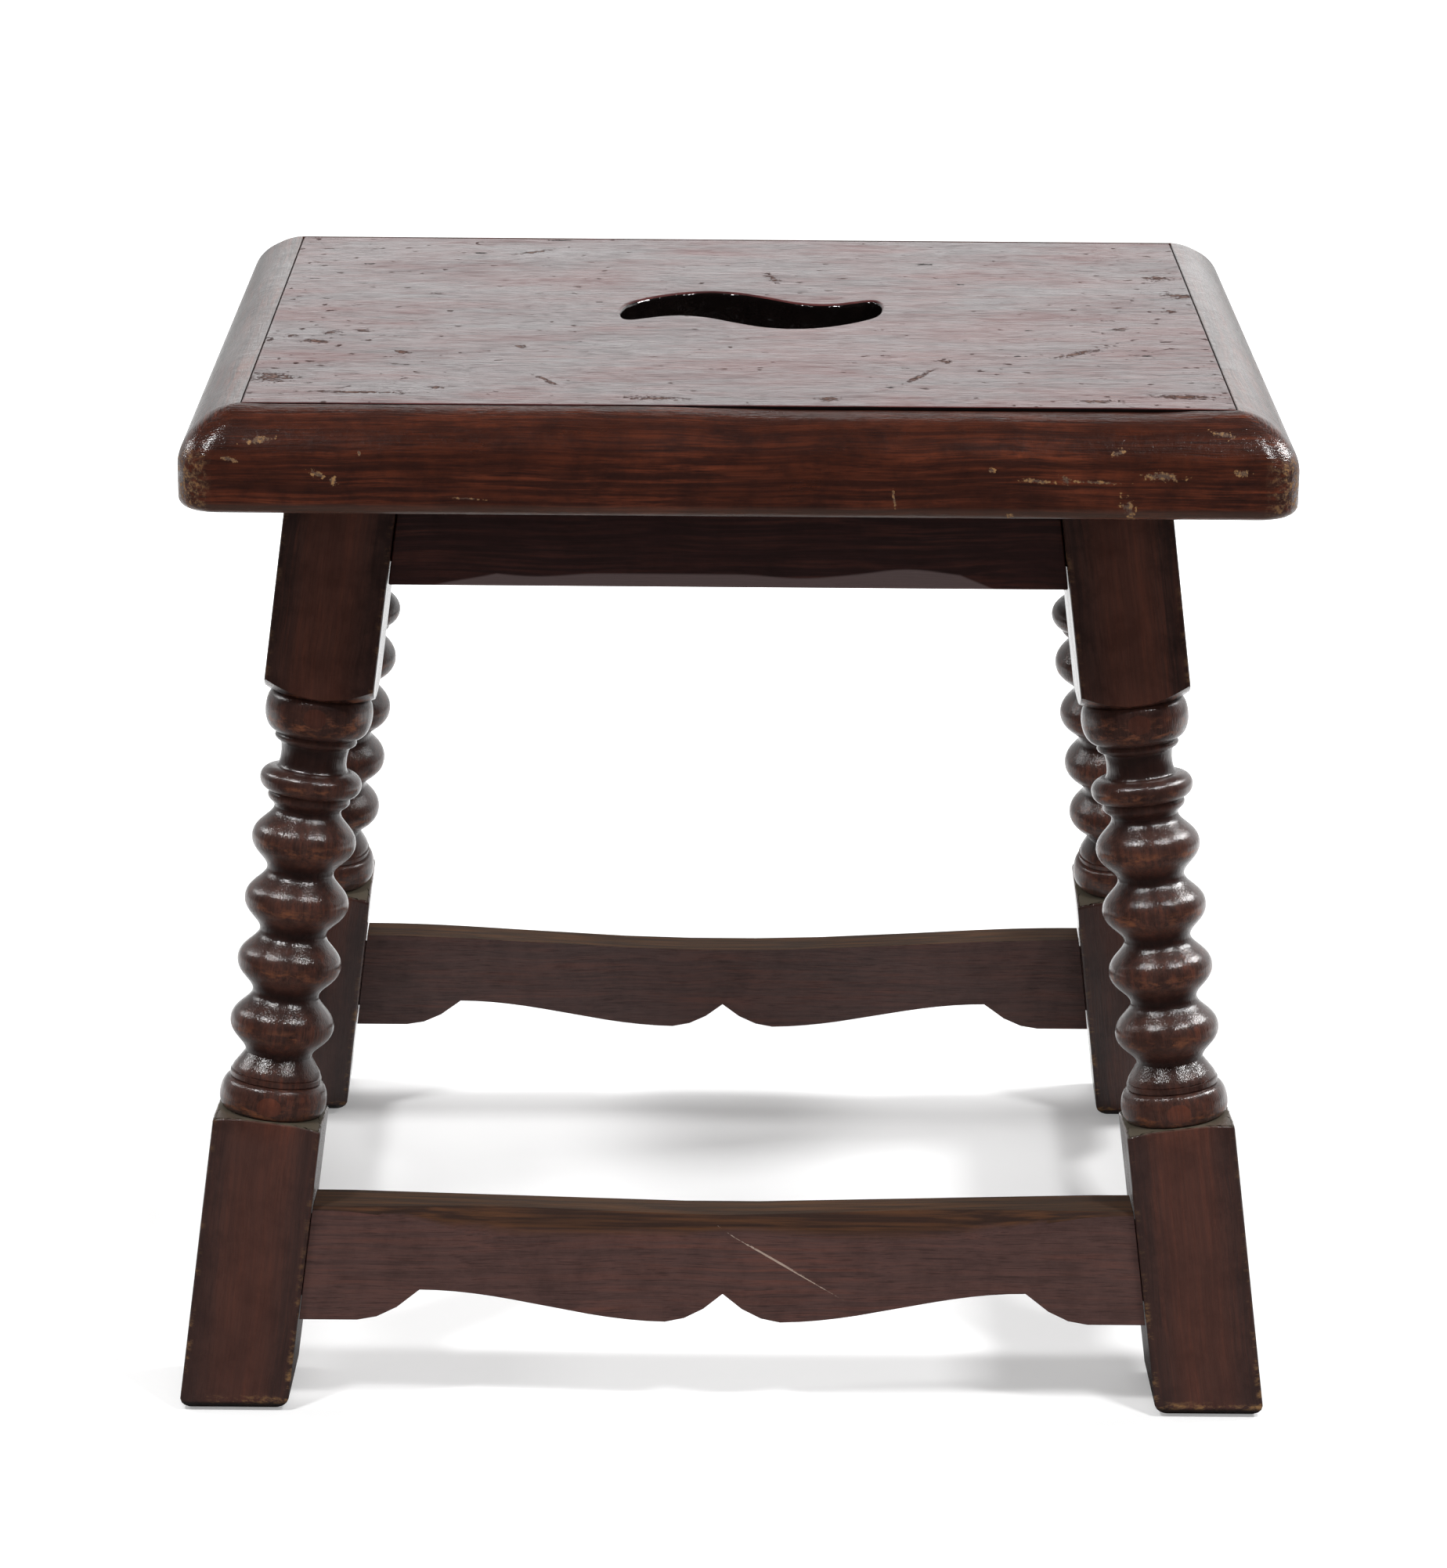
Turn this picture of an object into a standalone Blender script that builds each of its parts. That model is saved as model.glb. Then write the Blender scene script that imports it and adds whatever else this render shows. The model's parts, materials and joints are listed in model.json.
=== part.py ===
"""A joined stool of stained hardwood.

A seat board with a serpentine hand hole sits in a frame of bullnose edging. Four
legs with square blocks and bobbin turnings lean outward both ways. Rails under
the seat and shaped stretchers near the floor are tenoned into the legs, and
corner blocks screwed from below hold the seat on.

The front of the stool faces -Y, and it stands on the plane z = 0.
"""

import math

import bmesh
import bpy
from mathutils import Matrix, Vector

# Fits and cuts
CLEARANCE = 0.0003
CUT_OVERRUN = 0.003

# Seat
SEAT_LENGTH = 0.435
SEAT_DEPTH = 0.3475
SEAT_TOP_HEIGHT = 0.417
SEAT_SHIFT = 0.0035
BOARD_THICKNESS = 0.022
TONGUE_LENGTH = 0.007
TONGUE_THICKNESS = 0.007

# Bullnose edging round the board
EDGE_WIDTH = 0.0237
EDGE_HEIGHT = 0.039
EDGE_NOSE_DROP = 0.022
EDGE_FOOT_RADIUS = 0.005
EDGE_CORNER_RADIUS = 0.012
EDGE_NOSE_STEPS = 8
EDGE_FOOT_STEPS = 3
EDGE_CORNER_STEPS = 3

# Serpentine hand hole
HOLE_LENGTH = 0.109
HOLE_WIDTH = 0.065
HOLE_CENTRE_X = 0.0058
HOLE_CENTRE_Y = 0.0140
HOLE_ARRIS = 0.003
HOLE_ARRIS_STEPS = 3
HOLE_CURVE_STEPS = 3
HOLE_SIDE_SHARES = (
    (-1.00, -0.23), (-0.95, 0.27), (-0.78, 0.63), (-0.55, 0.90), (-0.32, 1.00),
    (-0.10, 0.92), (0.11, 0.69), (0.31, 0.43), (0.50, 0.31), (0.67, 0.34),
    (0.82, 0.47), (0.95, 0.55),
)

# Legs
LEG_SECTION = 0.044
LEG_ARRIS = 0.0015
LEG_INSET_LENGTH = 0.0675
LEG_INSET_DEPTH = 0.0700
LEG_SPLAY_LENGTH = 0.0497
LEG_SPLAY_DEPTH = 0.0553
FOOT_BLOCK_LENGTH = 0.120
FOOT_CHAMFER = 0.005
FOOT_CHAMFER_SHARES = ((0.0, 1.0), (0.2, 0.65), (0.65, 0.2), (1.0, 0.0))
POINTS_PER_FACE = 6

# Turning between the blocks, from the foot block upward
BASE_RING_HEIGHT = 0.0132
BASE_RING_RADIUS = 0.0218
BASE_RING_ROOT = 0.0199
BASE_RING_CROWN_SHARE = 0.35
SHOULDER_HEIGHT = 0.0046
SHOULDER_RADIUS = 0.0184
COVE_HEIGHT = 0.0063
WAIST_RADIUS = 0.0135
BOBBIN_COUNT = 4
BOBBIN_PITCH = 0.0256
BOBBIN_RADIUS = 0.0211
BOBBIN_STEPS = 6
BOBBIN_FULLNESS_SHARE = 0.8
RISE_HEIGHT = 0.0028
FILLET_HEIGHT = 0.0037
FILLET_RADIUS = 0.0167
THIN_RING_HEIGHT = 0.0103
THIN_RING_RADIUS = 0.0206
THIN_RING_CROWN_SHARE = 0.5
NECK_HEIGHT = 0.0105
NECK_RADIUS = 0.0133
CAP_RING_HEIGHT = 0.0165
CAP_RING_RADIUS = 0.0217
CAP_RING_CROWN_SHARE = 0.58
RING_STEPS = 3

# Rails under the seat
RAIL_HEIGHT = 0.0570
RAIL_THICKNESS = 0.020
RAIL_SETBACK = 0.004
RAIL_ARRIS = 0.001

# Stretchers near the floor
STRETCHER_DROP = 0.0336
STRETCHER_HEIGHT = 0.0472
STRETCHER_THICKNESS = 0.018
STRETCHER_SETBACK = 0.003
STRETCHER_ARRIS = 0.0012
SCALLOP_HEIGHT = 0.0128
SCALLOP_STEPS = 44
CUSP_PLACE_SHARE = 0.722
CUSP_REACH_SHARE = 0.145
CENTRE_CUSP_SHARE = 0.93
OGEE_START_SHARE = 0.12

# Wear on the top of the front and back stretchers
FRONT_TOP_SAG = 0.0037
BACK_TOP_SAG = 0.0065
FRONT_WEAR_HEIGHT = 0.0115
BACK_WEAR_HEIGHT = 0.0030
WEAR_DEPTH = 0.0060
WEAR_PLACE_SHARE = 0.465
WEAR_INNER_REACH_SHARE = 0.98
WEAR_OUTER_REACH_SHARE = 0.50

# Mortise and tenon joints
TENON_LENGTH = 0.018
TENON_THICKNESS = 0.008
TENON_SHOULDER = 0.008

# Corner blocks and their screws
BLOCK_ARM = 0.038
BLOCK_HEIGHT = 0.020
BLOCK_RELIEF = 0.0008
SCREW_INSET = 0.006
SCREW_RADIUS = 0.002
SCREW_HEAD_RADIUS = 0.004
SCREW_HEAD_HEIGHT = 0.0025
SCREW_BITE = 0.014
SCREW_TIP = 0.004
SCREW_SIDES = 12

# Places worked out from the sizes above
BOARD_HALF_X = SEAT_LENGTH / 2 - EDGE_WIDTH
BOARD_HALF_Y = SEAT_DEPTH / 2 - EDGE_WIDTH
BOARD_UNDERSIDE = SEAT_TOP_HEIGHT - BOARD_THICKNESS
FRAME_TOP = BOARD_UNDERSIDE - CLEARANCE
LEG_HALF = LEG_SECTION / 2
TOP_AXIS_X = SEAT_LENGTH / 2 - LEG_INSET_LENGTH
TOP_AXIS_Y = SEAT_DEPTH / 2 - LEG_INSET_DEPTH
FOOT_AXIS_X = TOP_AXIS_X + LEG_SPLAY_LENGTH
FOOT_AXIS_Y = TOP_AXIS_Y + LEG_SPLAY_DEPTH
LEAN_X = LEG_SPLAY_LENGTH / FRAME_TOP
LEAN_Y = LEG_SPLAY_DEPTH / FRAME_TOP
SPREAD_X = math.sqrt(1 + LEAN_X ** 2)
SPREAD_Y = math.sqrt(1 + LEAN_Y ** 2)
LEG_STRETCH = math.sqrt(1 + LEAN_X ** 2 + LEAN_Y ** 2)
RAIL_BOTTOM = FRAME_TOP - RAIL_HEIGHT
STRETCHER_TOP = (FOOT_BLOCK_LENGTH - STRETCHER_DROP) / LEG_STRETCH
STRETCHER_BOTTOM = STRETCHER_TOP - STRETCHER_HEIGHT

STAINS = {
    "board": (0.105, 0.042, 0.034, 0.24),
    "edge": (0.090, 0.034, 0.024, 0.26),
    "leg": (0.062, 0.028, 0.021, 0.28),
    "rail": (0.045, 0.020, 0.016, 0.30),
    "stretcher": (0.058, 0.027, 0.021, 0.30),
    "block": (0.200, 0.120, 0.070, 0.60),
    "screw": (0.360, 0.350, 0.330, 0.40),
}


def clear_scene():
    """Remove every object that the file opened with."""
    for obj in list(bpy.data.objects):
        bpy.data.objects.remove(obj, do_unlink=True)


def wood(name, stain):
    """Make the material of one piece from its stain."""
    red, green, blue, roughness = STAINS[stain]
    material = bpy.data.materials.new(name + "_finish")
    material.use_nodes = True
    shader = material.node_tree.nodes["Principled BSDF"]
    shader.inputs["Base Color"].default_value = (red, green, blue, 1)
    shader.inputs["Roughness"].default_value = roughness
    shader.inputs["Metallic"].default_value = 1 if stain == "screw" else 0
    material.diffuse_color = (red, green, blue, 1)
    return material


def make_object(name, shape, origin, stain=None, parent=None, smooth_degrees=35):
    """Turn a bmesh in world places into an object whose origin is given."""
    bmesh.ops.recalc_face_normals(shape, faces=shape.faces)
    bmesh.ops.translate(shape, verts=shape.verts, vec=-Vector(origin))
    mesh = bpy.data.meshes.new(name)
    shape.to_mesh(mesh)
    shape.free()
    obj = bpy.data.objects.new(name, mesh)
    bpy.context.scene.collection.objects.link(obj)
    obj.location = origin
    if parent is not None:
        obj.parent = parent
    if stain is None:
        obj.hide_render = True
        obj.display_type = "WIRE"
    else:
        mesh.materials.append(wood(name, stain))
        mesh.shade_smooth()
        mesh.set_sharp_from_angle(angle=math.radians(smooth_degrees))
    return obj


def cut(obj, cutter):
    """Take the cutter's shape out of the object."""
    modifier = obj.modifiers.new("cut_" + cutter.name, "BOOLEAN")
    modifier.operation = "DIFFERENCE"
    modifier.solver = "EXACT"
    modifier.object = cutter


def loft(shape, rings):
    """Join rings of equally many points into a closed solid with flat ends."""
    rows = [[shape.verts.new(point) for point in ring] for ring in rings]
    count = len(rows[0])
    for lower, upper in zip(rows, rows[1:]):
        for i in range(count):
            j = (i + 1) % count
            shape.faces.new((lower[i], lower[j], upper[j], upper[i]))
    shape.faces.new(list(reversed(rows[0])))
    shape.faces.new(rows[-1])


def merge_coincident(shape):
    """Join points that lie in one place."""
    bmesh.ops.remove_doubles(shape, verts=shape.verts, dist=CLEARANCE / 100)


# Seat

def rounded_outline(half_x, half_y, offset):
    """Outline of a rectangle grown by an offset that rolls round its corners."""
    points = []
    for sign_x, sign_y, start in ((1, 1, 0), (-1, 1, 90), (-1, -1, 180), (1, -1, 270)):
        for step in range(2 * EDGE_CORNER_STEPS + 1):
            angle = math.radians(start + 90 * step / (2 * EDGE_CORNER_STEPS))
            grow_x, grow_y = math.cos(angle), math.sin(angle)
            if offset < 0:
                grow_x, grow_y = sign_x, sign_y
            points.append((SEAT_SHIFT + sign_x * half_x + offset * grow_x,
                           sign_y * half_y + offset * grow_y))
    return points


def tongue_levels(slack):
    """Lower and upper face of the tongue, or of its groove with slack added."""
    middle = SEAT_TOP_HEIGHT - BOARD_THICKNESS / 2
    return (middle - TONGUE_THICKNESS / 2 - slack, middle + TONGUE_THICKNESS / 2 + slack)


def hole_outline(grow):
    """Outline of the serpentine hand hole, its two sides alike but turned half round."""
    side = [Vector((x * HOLE_LENGTH / 2, y * HOLE_WIDTH / 2)) for x, y in HOLE_SIDE_SHARES]
    anchors = side + [-point for point in side]
    count = len(anchors)
    centre = Vector((SEAT_SHIFT + HOLE_CENTRE_X, HOLE_CENTRE_Y))
    points = []
    for i in range(count):
        before, start, end, after = [anchors[(i + k) % count] for k in (-1, 0, 1, 2)]
        for step in range(HOLE_CURVE_STEPS):
            t = step / HOLE_CURVE_STEPS
            points.append((2 * start + (end - before) * t
                           + (2 * before - 5 * start + 4 * end - after) * t ** 2
                           + (3 * start - before - 3 * end + after) * t ** 3) / 2)
    grown = []
    count = len(points)
    for i, point in enumerate(points):
        along = (points[(i + 1) % count] - points[i - 1]).normalized()
        grown.append(centre + point + grow * Vector((-along.y, along.x)))
    return grown


def build_board(parent):
    """Seat board with a tongue on all four edges and the hand hole through it."""
    shape = bmesh.new()
    low, high = tongue_levels(0)
    levels = (
        (BOARD_UNDERSIDE, -CLEARANCE),
        (low, -CLEARANCE),
        (low, TONGUE_LENGTH - CLEARANCE),
        (high, TONGUE_LENGTH - CLEARANCE),
        (high, -CLEARANCE),
        (SEAT_TOP_HEIGHT, -CLEARANCE),
    )
    rings = []
    for z, offset in levels:
        outline = rounded_outline(BOARD_HALF_X, BOARD_HALF_Y, offset)
        rings.append([(x, y, z) for x, y in outline])
    loft(shape, rings)
    merge_coincident(shape)
    centre = (SEAT_SHIFT, 0, SEAT_TOP_HEIGHT)
    board = make_object("seat_board", shape, centre, "board", parent)

    rings = []
    underside = BOARD_UNDERSIDE - CUT_OVERRUN
    rings.append([(x, y, underside) for x, y in hole_outline(0)])
    for step in range(HOLE_ARRIS_STEPS + 1):
        turn = math.pi / 2 * step / HOLE_ARRIS_STEPS
        grow = HOLE_ARRIS * (1 - math.cos(turn))
        z = SEAT_TOP_HEIGHT - HOLE_ARRIS * (1 - math.sin(turn))
        rings.append([(x, y, z) for x, y in hole_outline(grow)])
    above = SEAT_TOP_HEIGHT + CUT_OVERRUN
    rings.append([(x, y, above) for x, y in hole_outline(HOLE_ARRIS)])
    shape = bmesh.new()
    loft(shape, rings)
    cutter = make_object("hand_hole_cut", shape, centre, None, parent)
    cut(board, cutter)
    return board


def edge_profile():
    """Section of the edging as (outward, height) points, with its groove."""
    points = []
    low, high = tongue_levels(CLEARANCE)
    for step in range(EDGE_NOSE_STEPS + 1):
        turn = math.pi / 2 * step / EDGE_NOSE_STEPS
        points.append((EDGE_WIDTH * math.sin(turn),
                       SEAT_TOP_HEIGHT - EDGE_NOSE_DROP * (1 - math.cos(turn))))
    bottom = SEAT_TOP_HEIGHT - EDGE_HEIGHT
    for step in range(EDGE_FOOT_STEPS + 1):
        turn = math.pi / 2 * step / EDGE_FOOT_STEPS
        points.append((EDGE_WIDTH - EDGE_FOOT_RADIUS * (1 - math.cos(turn)),
                       bottom + EDGE_FOOT_RADIUS * (1 - math.sin(turn))))
    points.append((0, bottom))
    points.append((0, low))
    points.append((TONGUE_LENGTH + CLEARANCE, low))
    points.append((TONGUE_LENGTH + CLEARANCE, high))
    points.append((0, high))
    return points


def edge_sections(half_along, half_across):
    """Stations along one edge: the board's corner, a direction and the corner's sides."""
    stations = []
    for side in (-1, 1):
        corner = Vector((side * half_along, -half_across))
        turns = [45 * step / EDGE_CORNER_STEPS for step in range(EDGE_CORNER_STEPS + 1)]
        if side < 0:
            turns.reverse()
        for turn in turns:
            angle = math.radians(turn)
            outward = Vector((side * math.sin(angle), -math.cos(angle)))
            shift = Vector((0, 0))
            if turn == 45:
                shift = Vector((-side, -1)).normalized() * (CLEARANCE / 2)
            stations.append((corner + shift, outward, Vector((side, -1))))
    return stations


def build_edge(name, quarter_turns, parent):
    """One mitred piece of the edging, turned to its side of the seat."""
    along_x = quarter_turns % 2 == 0
    half_along = BOARD_HALF_X if along_x else BOARD_HALF_Y
    half_across = BOARD_HALF_Y if along_x else BOARD_HALF_X
    turn = Matrix.Rotation(math.radians(90 * quarter_turns), 3, "Z")
    seat_centre = Vector((SEAT_SHIFT, 0, 0))
    profile = edge_profile()
    rings = []
    for corner, outward, sides in edge_sections(half_along, half_across):
        ring = []
        for offset, z in profile:
            radius = min(offset, EDGE_CORNER_RADIUS)
            flat = corner + sides * (offset - radius) + outward * radius
            ring.append(seat_centre + turn @ Vector((flat.x, flat.y, z)))
        rings.append(ring)
    shape = bmesh.new()
    loft(shape, rings)
    merge_coincident(shape)
    origin = seat_centre + turn @ Vector((0, -half_across, SEAT_TOP_HEIGHT))
    return make_object(name, shape, origin, "edge", parent)


# Legs

def leg_axes(side_x, side_y):
    """Foot point and the three directions of a leaning leg."""
    foot = Vector((side_x * FOOT_AXIS_X, side_y * FOOT_AXIS_Y, 0))
    up = Vector((-side_x * LEAN_X, -side_y * LEAN_Y, 1)).normalized()
    across = Vector((1, 0, 0))
    across = (across - up * across.dot(up)).normalized()
    back = up.cross(across)
    return foot, across, back, up


def bulge(start, height, root, crown, tip, crown_share):
    """Rounded moulding as (height, radius) points, widest at a share of its height."""
    points = []
    peak = height * crown_share
    for step in range(RING_STEPS + 1):
        turn = math.pi / 2 * step / RING_STEPS
        points.append((start + peak * (1 - math.cos(turn)),
                       root + (crown - root) * math.sin(turn)))
    for step in range(1, RING_STEPS + 1):
        turn = math.pi / 2 * step / RING_STEPS
        points.append((start + peak + (height - peak) * math.sin(turn),
                       tip + (crown - tip) * math.cos(turn)))
    return points


def turned_profile():
    """Turning as (height above the foot block, radius) points."""
    points = bulge(0, BASE_RING_HEIGHT, BASE_RING_ROOT, BASE_RING_RADIUS,
                   SHOULDER_RADIUS, BASE_RING_CROWN_SHARE)
    z = BASE_RING_HEIGHT
    points.append((z + SHOULDER_HEIGHT / 2, SHOULDER_RADIUS))
    z += SHOULDER_HEIGHT
    points.append((z, (SHOULDER_RADIUS + WAIST_RADIUS) / 2))
    z += COVE_HEIGHT
    steps = BOBBIN_COUNT * BOBBIN_STEPS
    for step in range(steps + 1):
        wave = (1 - math.cos(2 * math.pi * step / BOBBIN_STEPS)) / 2
        swell = (BOBBIN_RADIUS - WAIST_RADIUS) * wave ** BOBBIN_FULLNESS_SHARE
        points.append((z + BOBBIN_PITCH * step / BOBBIN_STEPS, WAIST_RADIUS + swell))
    z += BOBBIN_PITCH * BOBBIN_COUNT + RISE_HEIGHT
    points.append((z, FILLET_RADIUS))
    z += FILLET_HEIGHT
    points += bulge(z, THIN_RING_HEIGHT, FILLET_RADIUS, THIN_RING_RADIUS,
                    NECK_RADIUS, THIN_RING_CROWN_SHARE)
    z += THIN_RING_HEIGHT + NECK_HEIGHT
    points.append((z, NECK_RADIUS))
    points.append((z, FILLET_RADIUS))
    z += FILLET_HEIGHT
    points += bulge(z, CAP_RING_HEIGHT, FILLET_RADIUS, CAP_RING_RADIUS,
                    BASE_RING_ROOT, CAP_RING_CROWN_SHARE)
    return points


def square_ring(half, arris):
    """Points round a square with its corners taken off, face by face."""
    points = []
    for face in range(4):
        turn = Matrix.Rotation(math.radians(90 * face), 2)
        for i in range(POINTS_PER_FACE):
            share = 2 * i / (POINTS_PER_FACE - 1) - 1
            points.append(turn @ Vector((half, share * (half - arris))))
    return points


def round_ring(radius):
    """Points round a circle, in the same order as a square ring."""
    points = []
    step = 90 / POINTS_PER_FACE
    for face in range(4):
        for i in range(POINTS_PER_FACE):
            angle = math.radians(90 * face - 45 + step * (i + 1 / 2))
            points.append(Vector((radius * math.cos(angle), radius * math.sin(angle))))
    return points


def build_leg(name, side_x, side_y, cutter, parent):
    """One leg: foot block, turning and head block in a single piece."""
    foot, across, back, up = leg_axes(side_x, side_y)

    def at_height(flat, z):
        """Length along the leg where a point over the axis is at height z."""
        return (z - foot.z - across.z * flat.x - back.z * flat.y) / up.z

    block = square_ring(LEG_HALF, LEG_ARRIS)
    rings = []
    for rise_share, inset_share in FOOT_CHAMFER_SHARES:
        heel = square_ring(LEG_HALF - FOOT_CHAMFER * inset_share, LEG_ARRIS)
        rings.append([(p.x, p.y, at_height(p, FOOT_CHAMFER * rise_share)) for p in heel])
    rings.append([(p.x, p.y, FOOT_BLOCK_LENGTH) for p in block])
    for z, radius in turned_profile():
        rings.append([(p.x, p.y, FOOT_BLOCK_LENGTH + z) for p in round_ring(radius)])
    turned_end = FOOT_BLOCK_LENGTH + turned_profile()[-1][0]
    rings.append([(p.x, p.y, turned_end) for p in block])
    rings.append([(p.x, p.y, at_height(p, FRAME_TOP)) for p in block])
    shape = bmesh.new()
    loft(shape, rings)
    leg = make_object(name, shape, (0, 0, 0), "leg", parent)
    leg.location = foot
    leg.rotation_euler = Matrix((across, back, up)).transposed().to_euler()
    cut(leg, cutter)
    return leg


# Rails and stretchers

def rail_faces(runs_along_x, side, setback, thickness, z):
    """Outer and inner face of a rail at a height, across its run."""
    if runs_along_x:
        axis, spread = FOOT_AXIS_Y - LEAN_Y * z, SPREAD_Y
    else:
        axis, spread = FOOT_AXIS_X - LEAN_X * z, SPREAD_X
    outer = axis + (LEG_HALF - setback) * spread
    inner = outer - thickness * spread
    return side * outer, side * inner


def rail_end(runs_along_x, side, end, across_place, z, depth):
    """Point of a rail's end, a depth away from the leg face that it meets."""
    if runs_along_x:
        foot, across, back, up = leg_axes(end, side)
        normal = -end * across
        reach = LEG_HALF + depth + normal.dot(foot)
        x = (reach - normal.y * across_place - normal.z * z) / normal.x
        return Vector((x, across_place, z))
    foot, across, back, up = leg_axes(side, end)
    normal = -end * back
    reach = LEG_HALF + depth + normal.dot(foot)
    y = (reach - normal.x * across_place - normal.z * z) / normal.y
    return Vector((across_place, y, z))


def tenon_ring(runs_along_x, side, end, spec, depth, grow):
    """Four corners of a tenon's section at a depth from the leg's face."""
    top, bottom, setback, thickness = spec
    cheek = (thickness - TENON_THICKNESS) / 2
    ring = []
    for z, outside in ((top - TENON_SHOULDER + grow, True),
                       (top - TENON_SHOULDER + grow, False),
                       (bottom + TENON_SHOULDER - grow, False),
                       (bottom + TENON_SHOULDER - grow, True)):
        outer, inner = rail_faces(runs_along_x, side, setback + cheek - grow,
                                  TENON_THICKNESS + 2 * grow, z)
        ring.append(rail_end(runs_along_x, side, end, outer if outside else inner,
                             z, depth))
    return ring


def tenon_spec(kind):
    """Top, bottom, setback and thickness that a kind of rail's tenon follows."""
    if kind == "rail":
        return (FRAME_TOP, RAIL_BOTTOM, RAIL_SETBACK, RAIL_THICKNESS)
    return (STRETCHER_TOP, STRETCHER_BOTTOM, STRETCHER_SETBACK, STRETCHER_THICKNESS)


def section(runs_along_x, side, spec, arris_height, arris_depth, place):
    """Five corners of a rail's section, worn or eased at its top outer edge."""
    top, bottom, setback, thickness = spec
    corners = []
    for z, inward in ((top - arris_height, 0), (top, arris_depth), (top, thickness),
                      (bottom, thickness), (bottom, 0)):
        outer, _ = rail_faces(runs_along_x, side, setback + inward, thickness, z)
        corners.append(place(outer, z))
    return corners


def scallop(share):
    """Height of the lower edge above its lobes, as a share, at a share of the run."""
    share = abs(share)
    centre = CENTRE_CUSP_SHARE * max(0, 1 - share / CUSP_REACH_SHARE) ** 2
    if share > CUSP_PLACE_SHARE:
        return max(0, 1 - (share - CUSP_PLACE_SHARE) / CUSP_REACH_SHARE) ** 2
    rise = (share - OGEE_START_SHARE) / (CUSP_PLACE_SHARE - OGEE_START_SHARE)
    ogee = (1 - math.cos(math.pi * max(0, rise))) / 2
    return max(centre, ogee)


def wear(share):
    """Share of the wear on the top outer edge at a share of the run."""
    away = abs(share) - WEAR_PLACE_SHARE
    reach = WEAR_OUTER_REACH_SHARE if away > 0 else WEAR_INNER_REACH_SHARE
    return math.cos(math.pi / 2 * min(1, abs(away) / reach)) ** 2


def scallop_shares():
    """Shares of the half run where the lower edge gets a point, cusps included."""
    places = [2 * step / SCALLOP_STEPS - 1 for step in range(1, SCALLOP_STEPS)]
    places = [p for p in places if min(abs(abs(p) - CUSP_PLACE_SHARE), abs(p)) > 1 / SCALLOP_STEPS]
    return sorted(places + [-CUSP_PLACE_SHARE, 0, CUSP_PLACE_SHARE])


def build_rail(name, kind, runs_along_x, side, sag, wear_height, parent):
    """A rail or stretcher between two legs, with a tenon at each end."""
    spec = tenon_spec(kind)
    top, bottom, setback, thickness = spec
    eased = RAIL_ARRIS if kind == "rail" else STRETCHER_ARRIS

    def end_rings(end):
        """Rings of a tenon and the shoulder round it, from the tip inward."""
        tip = tenon_ring(runs_along_x, side, end, spec, CLEARANCE - TENON_LENGTH, 0)
        root = tenon_ring(runs_along_x, side, end, spec, CLEARANCE, 0)
        shoulder = section(runs_along_x, side, spec, eased, eased,
                           lambda place, z: rail_end(runs_along_x, side, end, place,
                                                     z, CLEARANCE))
        return [[ring[0]] + ring for ring in (tip, root)] + [shoulder]

    rings = end_rings(-1)
    if kind == "stretcher":
        for share in scallop_shares():
            dip = sag * math.cos(math.pi / 2 * share) ** 2
            worn = wear_height * wear(share)
            local = (top - dip, bottom + SCALLOP_HEIGHT * scallop(share),
                     setback, thickness)
            depth = eased + (WEAR_DEPTH - eased) * worn / FRONT_WEAR_HEIGHT

            def place(across_place, z, share=share):
                """Point of the section between the two shoulders."""
                a = rail_end(runs_along_x, side, -1, across_place, z, CLEARANCE)
                b = rail_end(runs_along_x, side, 1, across_place, z, CLEARANCE)
                return a.lerp(b, (share + 1) / 2)

            rings.append(section(runs_along_x, side, local, eased + worn, depth, place))
    rings += list(reversed(end_rings(1)))
    shape = bmesh.new()
    loft(shape, rings)
    merge_coincident(shape)
    outer, inner = rail_faces(runs_along_x, side, setback, thickness, top)
    middle = (outer + inner) / 2
    origin = (0, middle, top) if runs_along_x else (middle, 0, top)
    return make_object(name, shape, origin, kind, parent)


def build_mortise_cutter(name, side_x, side_y, parent):
    """The four mortises of one leg as one cutter."""
    shape = bmesh.new()
    for kind in ("rail", "stretcher"):
        spec = tenon_spec(kind)
        for runs_along_x, side, end in ((True, side_y, side_x), (False, side_x, side_y)):
            floor = tenon_ring(runs_along_x, side, end, spec, -TENON_LENGTH, CLEARANCE)
            mouth = tenon_ring(runs_along_x, side, end, spec, CUT_OVERRUN, CLEARANCE)
            loft(shape, [floor, mouth])
    foot = leg_axes(side_x, side_y)[0]
    return make_object(name, shape, foot, None, parent)


# Corner blocks and screws

def block_outline(z):
    """Corner block's outline in the first quadrant at a height, round the leg."""
    rail_x = rail_faces(False, 1, RAIL_SETBACK, RAIL_THICKNESS, z)[1] - CLEARANCE
    rail_y = rail_faces(True, 1, RAIL_SETBACK, RAIL_THICKNESS, z)[1] - CLEARANCE
    corner_x = FOOT_AXIS_X - LEAN_X * z - LEG_HALF * SPREAD_X - BLOCK_RELIEF
    corner_y = FOOT_AXIS_Y - LEAN_Y * z - LEG_HALF * SPREAD_Y - BLOCK_RELIEF
    return [(corner_x - BLOCK_ARM, rail_y), (corner_x, rail_y), (corner_x, corner_y),
            (rail_x, corner_y), (rail_x, corner_y - BLOCK_ARM)]


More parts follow.
